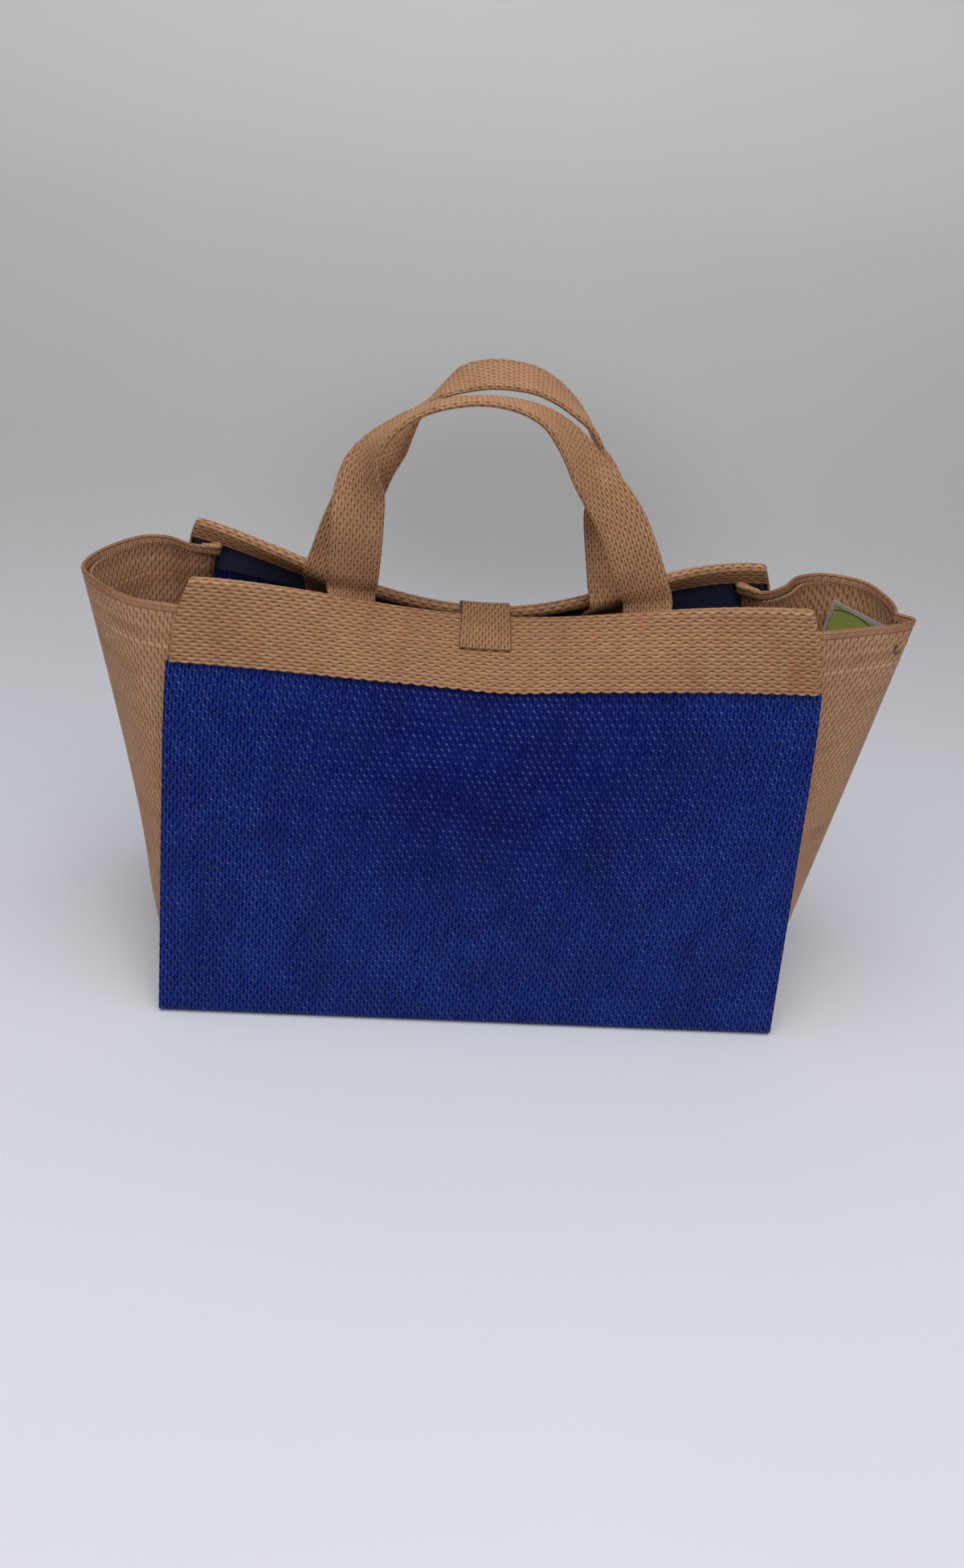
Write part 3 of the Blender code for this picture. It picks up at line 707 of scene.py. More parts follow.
@dataclass(frozen=True)
class WallCourse:
    """The course of one standing wall. u runs from -1 at the left edge to 1 at the right, h from
    0 at the foot to 1 at the upper edge. folds holds soft folds as (u, width, height, low, high),
    fold_ends how far each one fades at its foot and top. The three powers say how late on the
    way up the edge sinks, the walls close in and the side edges draw together.
    """

    wall: Wall
    left: Point
    right: Point
    dip: Point
    fall: Tuple[float, float]
    margin: float
    folds: Tuple[Tuple[float, float, float, float, float], ...] = ()
    fold_ends: Tuple[float, float] = (0.15, 0.25)
    sink_power: int = 5
    close_power: int = 8
    draw_power: int = 10
    probe: float = 0.004
    halvings: int = 26

    def middle(self, u: Array, h: Array) -> Array:
        """The cloth's middle surface.

        Args:
            u: Places across.
            h: Places up, of a shape that fits u.

        Returns:
            Points, one more axis than u.
        """
        u, h = np.broadcast_arrays(np.asarray(u, float), np.asarray(h, float))
        side = self.wall.value
        left, right = np.array(self.left), np.array(self.right)
        foot = np.stack([u * CUT.width / 2, np.full_like(u, side * CUT.depth / 2),
                         np.full_like(u, CUT.corner + CUT.half)], -1)
        edge = left + (right - left) * ((u + 1) / 2)[..., None]
        drawn = np.array(self.dip) - (left + right) / 2
        fall = np.where(u < 0, self.fall[0], self.fall[1])
        pinch = np.maximum(0.0, np.cos(np.abs(u) * np.pi / 2)) ** fall
        belly = np.sin(np.pi * np.clip(h, 0, 1)) * (1 - u * u)
        high = np.maximum(h, 0)
        point = foot + (edge - foot) * h[..., None]
        point[..., 0] += (drawn[0] * pinch * high ** self.sink_power
                          - u * CUT.edge_draw * high ** self.draw_power)
        point[..., 1] += drawn[1] * pinch * high ** self.close_power + side * CUT.bulge * belly
        point[..., 2] += drawn[2] * pinch * high ** self.sink_power
        for centre, width, height, low, top in self.folds:
            reach = np.exp(-((u - centre) / width) ** 2) * height
            fade = eased((h - low) / self.fold_ends[0]) * eased((top - h) / self.fold_ends[1])
            point[..., 1] += side * reach * fade
        return point

    def outward(self, u: Array, h: Array) -> Array:
        """The unit direction out of the bag."""
        step = self.probe
        across = self.middle(u + step, h) - self.middle(u - step, h)
        up = self.middle(u, h + step) - self.middle(u, h - step)
        return unit(np.cross(across, up)) * -self.wall.value

    def place(self, u: Array, h: Array, out: float = 0.0) -> Array:
        """The cloth at u and h, moved outwards from its middle."""
        return self.middle(u, h) + self.outward(u, h) * out

    def u_at(self, x: Array, h: Array) -> Array:
        """u where the cloth has this x, found by halving."""
        x, h = np.broadcast_arrays(np.asarray(x, float), np.asarray(h, float))
        low, high = np.full(x.shape, -1.0), np.full(x.shape, 1.0)
        for _ in range(self.halvings):
            middle = (low + high) / 2
            less = self.middle(middle, h)[..., 0] < x
            low, high = np.where(less, middle, low), np.where(less, high, middle)
        return (low + high) / 2


FRONT = WallCourse(Wall.FRONT, (-0.1555, -0.0310, 0.2200), (0.1555, -0.0370, 0.2260),
                   (0.000, -0.0058, 0.1985), (1.9, 2.5), 0.012,
                   folds=((-0.47, 0.10, 0.0016, 0.0, 0.80), (0.15, 0.16, 0.0012, 0.05, 0.85),
                          (-0.20, 0.07, -0.0008, 0.0, 0.70), (0.62, 0.12, -0.0008, 0.0, 0.80),
                          (-0.90, 0.022, 0.0010, 0.0, 0.82), (0.875, 0.022, -0.0010, 0.0, 0.80)))
BACK = WallCourse(Wall.BACK, (-0.1645, 0.0490, 0.2190), (0.1460, 0.0210, 0.2250),
                  (-0.009, 0.0058, 0.1985), (1.3, 2.0), 0.016,
                  folds=((0.35, 0.12, 0.0014, 0.0, 0.80), (-0.35, 0.15, 0.0012, 0.05, 0.80)))


def named(name: str) -> Object:
    """Names the object that was just made, and its data."""
    obj = bpy.context.object
    obj.name = obj.data.name = name
    return obj


def placed(name: str, data: bpy.types.ID) -> Object:
    """Puts data into the scene as an object."""
    obj = bpy.data.objects.new(name, data)
    bpy.context.scene.collection.objects.link(obj)
    return obj


def shape_grid(name: str, points: Array, chart: Array) -> Object:
    """Shapes a grid primitive to a surface and gives it the cloth's own map.

    Args:
        name: The piece's name.
        points: Rows by columns by three.
        chart: Rows by columns by two, in millimetres on the flat cloth.

    Returns:
        The shaped object.
    """
    rows, columns = points.shape[:2]
    bpy.ops.object.select_all(action="DESELECT")
    bpy.ops.mesh.primitive_grid_add(x_subdivisions=columns - 1, y_subdivisions=rows - 1, size=2,
                                    calc_uvs=True)
    obj = named(name)
    mesh = obj.data
    flat = np.empty(len(mesh.vertices) * 3)
    mesh.vertices.foreach_get("co", flat)
    flat = flat.reshape(-1, 3)
    column = np.rint((flat[:, 0] + 1) / 2 * (columns - 1)).astype(int)
    row = np.rint((flat[:, 1] + 1) / 2 * (rows - 1)).astype(int)
    mesh.vertices.foreach_set("co", points[row, column].reshape(-1))
    corner = np.empty(len(mesh.loops), dtype=np.int32)
    mesh.loops.foreach_get("vertex_index", corner)
    layer = mesh.uv_layers[0]
    layer.name = "UVMap"
    layer.data.foreach_set("uv", chart[row, column][corner].reshape(-1).astype(np.float32))
    mesh.update()
    return obj


def only(obj: Object) -> None:
    """Selects this object alone and makes it active."""
    bpy.ops.object.select_all(action="DESELECT")
    obj.select_set(True)
    bpy.context.view_layer.objects.active = obj


@contextmanager
def editing(obj: Object, everything: bool = True) -> Iterator[None]:
    """Edit mode on one object, with everything selected or with what already was."""
    only(obj)
    bpy.ops.object.mode_set(mode="EDIT")
    if everything:
        bpy.ops.mesh.select_all(action="SELECT")
    yield
    bpy.ops.object.mode_set(mode="OBJECT")


def joined(name: str, pieces: Sequence[Object]) -> Object:
    """Joins pieces to one object."""
    only(pieces[0])
    for piece in pieces[1:]:
        piece.select_set(True)
    bpy.ops.object.join()
    return named(name)


def coated(obj: Object, material: Material) -> None:
    """Gives a piece this finish alone."""
    obj.data.materials.clear()
    obj.data.materials.append(material)


def dressed(obj: Object, material: Material, slot: str,
            *nodes: str) -> Object:
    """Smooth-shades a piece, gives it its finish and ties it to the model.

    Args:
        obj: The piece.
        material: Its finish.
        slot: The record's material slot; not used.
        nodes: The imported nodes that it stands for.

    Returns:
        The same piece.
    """
    only(obj)
    bpy.ops.object.shade_smooth()
    coated(obj, material)
    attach(obj, BODY)
    if nodes:
        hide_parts(*nodes)
    LOG.info("%s: %d faces", obj.name, len(obj.data.polygons))
    return obj


def made_up(obj: Object, turn: bool, thickness: float, material: Material,
            slot: str) -> Object:
    """Finishes a shaped sheet, which is named after its node with one more word.

    Args:
        obj: The sheet.
        turn: Whether its faces have to be turned over to point outwards.
        thickness: How thick the cloth is behind its face.
        material: Its finish.
        slot: The record's material slot.

    Returns:
        The same piece.
    """
    if turn:
        with editing(obj):
            bpy.ops.mesh.flip_normals()
    only(obj)
    wall = obj.modifiers.new("Cloth", "SOLIDIFY")
    wall.thickness = thickness
    wall.offset = -1
    wall.use_even_offset = False
    bpy.ops.object.modifier_apply(modifier=wall.name)
    return dressed(obj, material, slot, obj.name.rsplit("_", 1)[0])


def grid_normals(points: Array) -> Array:
    """Unit normals of a grid, columns crossed with rows."""
    return unit(np.cross(np.gradient(points, axis=1), np.gradient(points, axis=0)))


@dataclass
class BodyCloth:
    """The body: one cut of blue cord cloth folded into front, base and back."""

    columns_per_cord: int = 2
    front_rows: int = 150
    back_rows: int = 76
    corner_rows: int = 5
    base_rows: int = 22
    inner_columns: int = 64
    inner_rows: int = 24
    inner_base_rows: int = 10
    edge_steps: int = 4
    hidden_from: float = 0.8325
    hidden_run: float = 0.004
    hidden_inset: float = 0.024
    edge_tuck: float = 0.006
    base_relief: float = 0.3
    floor_gap: float = 0.00005
    level_way: float = -0.9
    map_gap_mm: float = 0.001
    finish: CordCloth = BLUE_CLOTH

    def course(self, u: Array, front: int, back: int, base: int
               ) -> Tuple[Array, Array]:
        """Middle points and outward directions from the front's upper edge to the back's.

        Args:
            u: Places across.
            front: Rows up the front.
            back: Rows up the back.
            base: Rows across the base.

        Returns:
            Points and directions, rows by columns by three.
        """
        rows, ways = [], []

        def stand(wall: WallCourse, heights: Array) -> None:
            """Adds the rows of one wall."""
            for h in heights:
                at = self.drawn_in(u, h)
                rows.append(wall.middle(at, h))
                ways.append(wall.outward(at, h))

        def lie(y: float, z: float, out: Sequence[float]) -> None:
            """Adds one straight row under the bag."""
            rows.append(np.stack(np.broadcast_arrays(u * CUT.width / 2, y, z), -1))
            ways.append(np.broadcast_to(out, (len(u), 3)))

        stand(FRONT, np.linspace(1, 0, front))
        corner_y, corner_z = CUT.depth / 2 - CUT.corner, CUT.corner + CUT.half
        corner = []
        for turn in np.linspace(0, np.pi / 2, self.corner_rows + 2)[1:]:
            out = np.array([0.0, np.cos(turn), -np.sin(turn)])
            corner.append((corner_y + CUT.corner * out[1], corner_z + CUT.corner * out[2], out))
        for y, z, out in corner:
            lie(-y, z, out * (1, -1, 1))
        for y in np.linspace(-corner_y, corner_y, base)[1:-1]:
            lie(y, corner[-1][1], (0.0, 0.0, -1.0))
        for y, z, out in reversed(corner):
            lie(y, z, out)
        stand(BACK, np.linspace(0, 1, back))
        return np.array(rows), np.array(ways)

    def drawn_in(self, u: Array, h: float) -> Array:
        """u of the cloth where its side edges hide under the folded band."""
        share = float(eased((h - self.hidden_from) / self.hidden_run))
        return u * (1 - self.hidden_inset * share)

    def outer_skin(self) -> Object:
        """The ribbed outer face, turned round both side edges."""
        weave = self.finish.weave
        u = np.linspace(-1, 1, round(CUT.width / MM / weave.pitch) * self.columns_per_cord + 1)
        points, ways = self.course(u, self.front_rows, self.back_rows, self.base_rows)
        v_mm = way_along(points[:, len(u) // 2]) / MM
        u_mm = (u + 1) / 2 * CUT.width / MM
        turns = np.linspace(0, np.pi, self.edge_steps + 1)[1:]
        reach = turns * CUT.half / MM + self.map_gap_mm
        reach = np.append(reach, reach[-1] + self.edge_tuck / MM)
        bases, outs = [], []
        for edge, beside in EDGES:
            place, way = points[:, edge], ways[:, edge]
            side = unit(place - points[:, beside])
            bases.append([place] * len(turns) + [place - side * self.edge_tuck])
            outs.append([way * np.cos(a) + side * np.sin(a) for a in turns] + [-way])
        base, way = with_sides(points, bases), with_sides(ways, outs)
        u_all = np.concatenate([-reach[::-1], u_mm, u_mm[-1] + reach]) + MAP_START * weave.pitch
        chart = laid_out(u_all, v_mm[-1] - v_mm + MAP_START)
        lift = weave.relief(chart)
        relief_share = np.where(way[..., 2] < self.level_way, self.base_relief, 1.0)
        points = base + way * (CUT.half + lift * relief_share)[..., None]
        points[..., 2] = np.maximum(points[..., 2], self.floor_gap)
        return shape_grid("body_outer", points[::-1], chart[::-1])

    def inner_skin(self) -> Object:
        """The inner face, of the same cloth."""
        u = np.linspace(-1, 1, self.inner_columns)
        points, ways = self.course(u, self.inner_rows, self.inner_rows, self.inner_base_rows)
        v_mm = way_along(points[:, len(u) // 2]) / MM
        chart = laid_out((u + 1) / 2 * CUT.width / MM, v_mm[::-1]) + MAP_START
        return shape_grid("body_inner", points - ways * CUT.half, chart)

    def build(self, material: Material) -> Object:
        """Builds the cloth in both faces and joins them."""
        obj = joined("body_cloth", [self.outer_skin(), self.inner_skin()])
        return dressed(obj, material, "blue_weave", "body_panel")


@dataclass
class MouthBand:
    """A strip of tan cord cloth folded over one upper edge of the mouth."""

    name: str
    course: WallCourse
    drop: float = 0.0385
    turn: float = 0.007
    rows_per_cord: int = 3
    columns_per_float: int = 6
    end: float = 0.984
    end_tuck: float = 0.0010
    end_radius: float = 0.0009
    end_steps: int = 5
    up_from: float = 0.96
    finish: CordCloth = BAND_CLOTH
    droop: Tuple[Tuple[float, float, float], ...] = ()

    def build(self, material: Material) -> Object:
        """Builds the folded strip."""
        weave, course, radius = self.finish.weave, self.course, CUT.band_offset
        width, arc = CUT.width / MM, math.pi * CUT.band_offset
        columns = round(width / weave.float_length * self.columns_per_float) + 1
        u = np.linspace(-self.end, self.end, columns)
        step = weave.pitch * MM / self.rows_per_cord
        top, out = course.place(u, 1.0), course.outward(u, 1.0)
        up = unit(top - course.place(u, self.up_from))
        sag = 0 * u
        for centre, spread, depth in self.droop:
            sag = sag + depth * np.exp(-((u - centre) / spread) ** 2)
        rows = []
        for s in np.arange(round(self.drop / step)) * step:
            h = 1 - (self.drop - s + sag * (1 - s / self.drop)) / CUT.height
            rows.append((course.place(u, h, radius), course.outward(u, h), s))
        for s in np.arange(round(arc / step)) * step:
            way = out * math.cos(s / radius) + up * math.sin(s / radius)
            rows.append((top + way * radius, way, self.drop + s))
        for s in np.linspace(0, self.turn, round(self.turn / step)):
            h = 1 - s / CUT.height
            rows.append((course.place(u, h, -radius), -course.outward(u, h), self.drop + arc + s))
        points, ways, marks = (np.array(part) for part in zip(*rows))
        points, ways, reach = self.with_ends(points, ways, radius)
        u_mm = (u + 1) / 2 * width + MAP_START
        u_mm = np.concatenate([u_mm[0] - reach[::-1] / MM, u_mm, u_mm[-1] + reach / MM])
        chart = laid_out(u_mm, marks / MM + MAP_START * weave.pitch)
        lift = weave.relief(chart)
        skin = points + ways * (CUT.band_cloth / 2 + lift)[..., None]
        obj = shape_grid(self.name, weave.swayed(skin, chart), chart)
        return made_up(obj, course.wall is Wall.BACK, CUT.band_cloth, material, "tan_weave")

    def with_ends(self, points: Array, ways: Array, radius: float
                  ) -> Tuple[Array, Array, Array]:
        """Turns both ends of the strip round the side edges of the wall.

        Args:
            points: Rows by columns by three.
            ways: The outward direction at each point.
            radius: How far the strip lies from the wall's middle.

        Returns:
            Points and directions with the turned ends, and how far the added columns lie from
            the strip's own.
        """
        turns = np.linspace(0, np.pi / 2, self.end_steps + 1)[1:]
        depth = radius - self.end_radius + self.end_tuck
        bases, outs = [], []
        for edge, beside in EDGES:
            out = ways[:, edge]
            side = unit(points[:, edge] - points[:, beside])
            core = points[:, edge] - out * self.end_radius
            turned = [out * math.cos(a) + side * math.sin(a) for a in turns]
            last = core + side * self.end_radius - out * depth
            bases.append([core + way * self.end_radius for way in turned] + [last])
            outs.append(turned + [side])
        reach = turns * self.end_radius
        reach = np.append(reach, reach[-1] + depth)
        return with_sides(points, bases), with_sides(ways, outs), reach


@dataclass
class FacingStrip:
    """A navy tape sewn inside one wall under its band; its dark colour is partly painted shade, for
    the dim inside under the folded band.
    """

    name: str
    course: WallCourse
    top: float = 0.0060
    bottom: float = 0.0250
    side_gap: float = 0.0035
    tape: float = 0.0005
    offset: float = 0.0013
    rows: int = 9
    columns: int = 90
    length_mm: float = 305.0

    def build(self, material: Material) -> Object:
        """Builds the tape."""
        drops = np.linspace(self.top, self.bottom, self.rows)
        share = np.linspace(0, 1, self.columns)
        points = []
        for drop in drops:
            h = 1 - drop / CUT.height
            ends = self.course.middle(np.array([-1.0, 1.0]), h)[:, 0]
            us = self.course.u_at(ends + np.array([self.side_gap, -self.side_gap]), h)
            u = us[0] + (us[1] - us[0]) * share
            points.append(self.course.place(u, h, -self.offset + self.tape / 2))
        chart = laid_out(share * self.length_mm, drops / MM)
        obj = shape_grid(self.name, np.array(points), chart)
        return made_up(obj, self.course.wall is Wall.BACK, self.tape, material, "navy_facing")


@dataclass
class Gusset:
    """One flaring side of tan cord cloth: flanges behind both walls, a wall that opens to the
    rim's course and a hem turned inside. facing_from and facing_run say at which height the
    flanges move back behind the facings, and creases holds the raised and sunk lines along the
    rim as (mm below it, height)."""

    name: str
    flank: Flank
    rim: Tuple[Tuple[float, float], ...]
    depths: Tuple[float, float]
    flare: float
    flange_edge: float = 0.0015
    flange_fall: float = 0.008
    flange_close: float = 0.00145
    facing_from: float = 0.87
    facing_run: float = 0.04
    fold_radius: float = 0.0010
    foot_swell: float = 0.008
    wall_swell: float = 0.020
    swell_share: float = 0.25
    hem_drop: float = 0.0045
    hem_radius: float = 0.0009
    hem_steps: int = 6
    roll_middle_mm: float = -1.2
    roll_half_mm: float = 1.4
    roll_flatness: float = 0.8
    roll_lift: float = 0.00015
    crease_mm: float = 0.6
    creases: Tuple[Tuple[float, float], ...] = ((3.9, -0.00030), (12.5, 0.00018), (22.0, 0.00018))
    hidden_columns: int = 6
    taper_columns: Tuple[int, int] = (4, 16)
    taper_share: float = 0.35
    bend_steps: int = 3
    bend_mm: float = 0.4
    flange_mm: Tuple[float, float] = (4.0, 8.0)
    swell_power: float = 0.35
    fall_power: int = 12
    probe_row: int = 10
    skin_ease: float = 0.0001
    floor_ease: float = 0.0003
    width_mm: float = 169.0
    height_mm: float = 219.0
    rows_per_float: int = 4
    columns_per_cord: int = 2
    finish: CordCloth = GUSSET_CLOTH

    def behind(self, h: float) -> float:
        """How far the flange lies behind a wall's middle: on its cloth, or past the facing."""
        past = float(eased((h - self.facing_from) / self.facing_run))
        return CUT.flange_offset - self.flange_close * (1 - past)

    def seam(self, course: WallCourse, h: float) -> Tuple[Array, Array, Array]:
        """The seam on one wall: its place, the way out to the side and the way inwards."""
        side, behind = self.flank.value, self.behind(h)
        edge_x = course.middle(float(side), h)[..., 0]
        u = course.u_at(edge_x - side * course.margin, h)
        place = course.place(u, h, -behind)
        outer = course.u_at(edge_x - side * self.flange_edge, h)
        out = course.place(outer, h, -behind) - place
        return place, out, -course.outward(u, h)

    def line(self, share: float, steps: int) -> Array:
        """One level line of the cloth's middle from the front flange to the back flange."""
        side = self.flank.value
        frames = [self.seam(course, share * (1 - depth / CUT.height))
                  for course, depth in zip((FRONT, BACK), self.depths)]
        route = np.array(self.rim)
        gaps = np.diff(way_along(route))
        gaps = np.concatenate([[FRONT.margin], gaps, [BACK.margin]])
        marks = np.cumsum(gaps)[:len(route)] / gaps.sum()
        feet = [side * (CUT.width / 2 - course.margin) for course in (FRONT, BACK)]
        half = CUT.depth / 2 - CUT.flange_offset
        opened = share ** self.flare
        swell = side * (self.foot_swell + (self.wall_swell - self.foot_swell)
                        * float(eased(share / self.swell_share)))
        low_x = feet[0] + (feet[1] - feet[0]) * marks + (
            swell * (4 * marks * (1 - marks)) ** self.swell_power)
        middle = np.stack([
            low_x + (route[:, 0] - low_x) * opened,
            (-half + 2 * half * marks) * (1 - opened) + route[:, 1] * opened,
            frames[0][0][2] + (frames[1][0][2] - frames[0][0][2]) * marks], -1)
        ends = []
        for (place, out, inward), first in zip(frames, (middle[0], middle[-1])):
            along = out / np.linalg.norm(out)
            away = first - place
            turn = min(math.pi, math.atan2(away @ inward - self.fold_radius, -(away @ along)))
            centre = place + inward * self.fold_radius
            angles = [turn * i / self.bend_steps for i in range(self.bend_steps + 1)]
            bend = [centre - along * self.fold_radius * math.sin(angle)
                    - inward * self.fold_radius * math.cos(angle) for angle in angles]
            fall = np.array([0.0, 0.0, -self.flange_fall * share ** self.fall_power])
            ends.append([place + out + fall, place + out / 2 + fall / 2] + bend)
        front, back = ends
        course = np.array([front[-1], *middle, back[-1]])
        body = smooth_course(course, np.linspace(0, 1, steps + 1)[1:-1])
        return np.concatenate([front, body, back[::-1]])

    def rows(self) -> Tuple[Array, Array]:
        """Middle points and the map of the whole sheet, hem included."""
        weave, hidden = self.finish.weave, self.hidden_columns
        steps = round(self.width_mm / weave.pitch) * self.columns_per_cord
        count = round(self.height_mm / weave.float_length * self.rows_per_float)
        shares = np.linspace(0, 1, count + 1)
        lines = np.array([self.line(float(share), steps) for share in shares])
        floor = CUT.cloth + CUT.clearance + CUT.gusset_cloth / 2 + self.floor_ease
        lines[..., 2] = np.maximum(lines[..., 2], floor)
        bend = np.arange(self.bend_steps + 1) * self.bend_mm + self.bend_mm / 2
        past = np.concatenate([bend, 2 * weave.pitch + np.array(self.flange_mm)])
        inner = np.linspace(0, self.width_mm, steps + 1)[1:-1]
        u_mm = np.concatenate([-past[::-1], inner, self.width_mm + past])
        rim = lines[-1]
        up = unit(rim - lines[-4])
        way = unit(np.cross(np.gradient(rim, axis=0), up)) * self.flank.value
        way[:hidden] = way[hidden]
        way[-hidden:] = way[-hidden - 1]
        from_end = np.minimum(np.arange(len(rim)), np.arange(len(rim))[::-1])
        way *= np.interp(from_end, self.taper_columns, (self.taper_share, 1.0))[:, None]
        extra, marks = [], []
        for angle in np.linspace(0, np.pi, self.hem_steps + 1)[1:]:
            extra.append(rim + up * self.hem_radius * math.sin(angle)
                         + way * self.hem_radius * (1 - math.cos(angle)))
            marks.append(self.height_mm + angle * self.hem_radius / MM)
        rolled = marks[-1]
        for drop in np.linspace(0, self.hem_drop, self.hem_steps + 1)[1:]:
            extra.append(rim - up * drop + way * 2 * self.hem_radius)
            marks.append(rolled + drop / MM)
        v_mm = np.concatenate([shares * self.height_mm, marks])
        return (np.concatenate([lines, np.array(extra)]),
                laid_out(u_mm + MAP_START * weave.pitch, v_mm + MAP_START))

    def rim_relief(self, lift: Array, below_mm: Array) -> Array:
        """Flattens the cords on the rolled rim and draws the lines below it.

        Args:
            lift: The weave's relief.
            below_mm: How far below the rim each point lies on the flat cloth.

        Returns:
            The changed relief.
        """
        past_roll = np.maximum(np.abs(below_mm - self.roll_middle_mm) - self.roll_half_mm, 0)
        roll = np.exp(-(past_roll / self.crease_mm) ** 2)
        lift = lift * (1 - self.roll_flatness * roll) + self.roll_lift * roll
        for at, height in self.creases:
            lift = lift + np.exp(-((below_mm - at) / self.crease_mm) ** 2) * height
        return lift

    def build(self, material: Material) -> Object:
        """Builds the gusset's cloth."""
        points, chart = self.rows()
        outward = grid_normals(points)
        if outward[self.probe_row, points.shape[1] // 2, 0] * self.flank.value < 0:
            outward = -outward
        rim_mm = self.height_mm + MAP_START
        lift = self.finish.weave.relief(chart)
        lift = self.rim_relief(lift, rim_mm - chart[..., 1])
        skin = points + outward * (CUT.gusset_cloth / 2 + lift)[..., None]
        skin[..., 2] = np.maximum(skin[..., 2], CUT.cloth + self.skin_ease)
        obj = shape_grid(self.name, skin, chart)
        self.lines, self.outward = points, outward
        self.rim_row = int(np.argmax(chart[:, 0, 1] >= rim_mm))
        face = obj.data.polygons[len(obj.data.polygons) // 2]
        turn = face.normal.x * self.flank.value < 0
        return made_up(obj, turn, CUT.gusset_cloth, material, "tan_weave")


LEFT_RIM = ((-0.1530, -0.0285), (-0.1720, -0.0240), (-0.1890, -0.0100), (-0.2015, 0.0080),
            (-0.1985, 0.0290), (-0.1830, 0.0510), (-0.1700, 0.0530), (-0.1565, 0.0435))
RIGHT_RIM = ((0.1530, -0.0320), (0.1780, -0.0230), (0.1950, -0.0165), (0.2045, -0.0090),
             (0.1975, -0.0030), (0.1992, 0.0050), (0.1990, 0.0190), (0.1930, 0.0370), (0.1760, 0.0440),
             (0.1600, 0.0385), (0.1475, 0.0220), (0.1340, 0.0125))

FRONT_ROUTE = (
    (-0.0700, -0.0150, 0.2420, 0), (-0.0694, -0.0140, 0.2600, 14),
    (-0.0682, -0.0140, 0.2735, 48), (-0.0630, -0.0140, 0.2850, 78),
    (-0.0490, -0.0140, 0.2978, 95), (-0.0322, -0.0140, 0.3052, 98),
    (-0.0110, -0.0140, 0.3078, 98), (0.0092, -0.0140, 0.3037, 88),
    (0.0240, -0.0140, 0.2928, 66), (0.0362, -0.0145, 0.2772, 46),
    (0.0510, -0.0150, 0.2590, 24), (0.0610, -0.0165, 0.2390, 3))
BACK_ROUTE = (
    (-0.0765, 0.0180, 0.2340, 18), (-0.0640, 0.0165, 0.2650, 42),
    (-0.0545, 0.0165, 0.2785, 60), (-0.0400, 0.0165, 0.2965, 100),
    (-0.0240, 0.0165, 0.3090, 78), (-0.0075, 0.0165, 0.3124, 74),
    (0.0130, 0.0165, 0.3095, 77), (0.0328, 0.0165, 0.2962, 88),
    (0.0409, 0.0165, 0.2844, 94), (0.0460, 0.0165, 0.2692, 56),
    (0.0508, 0.0165, 0.2480, 10), (0.0535, 0.0175, 0.2350, 0))


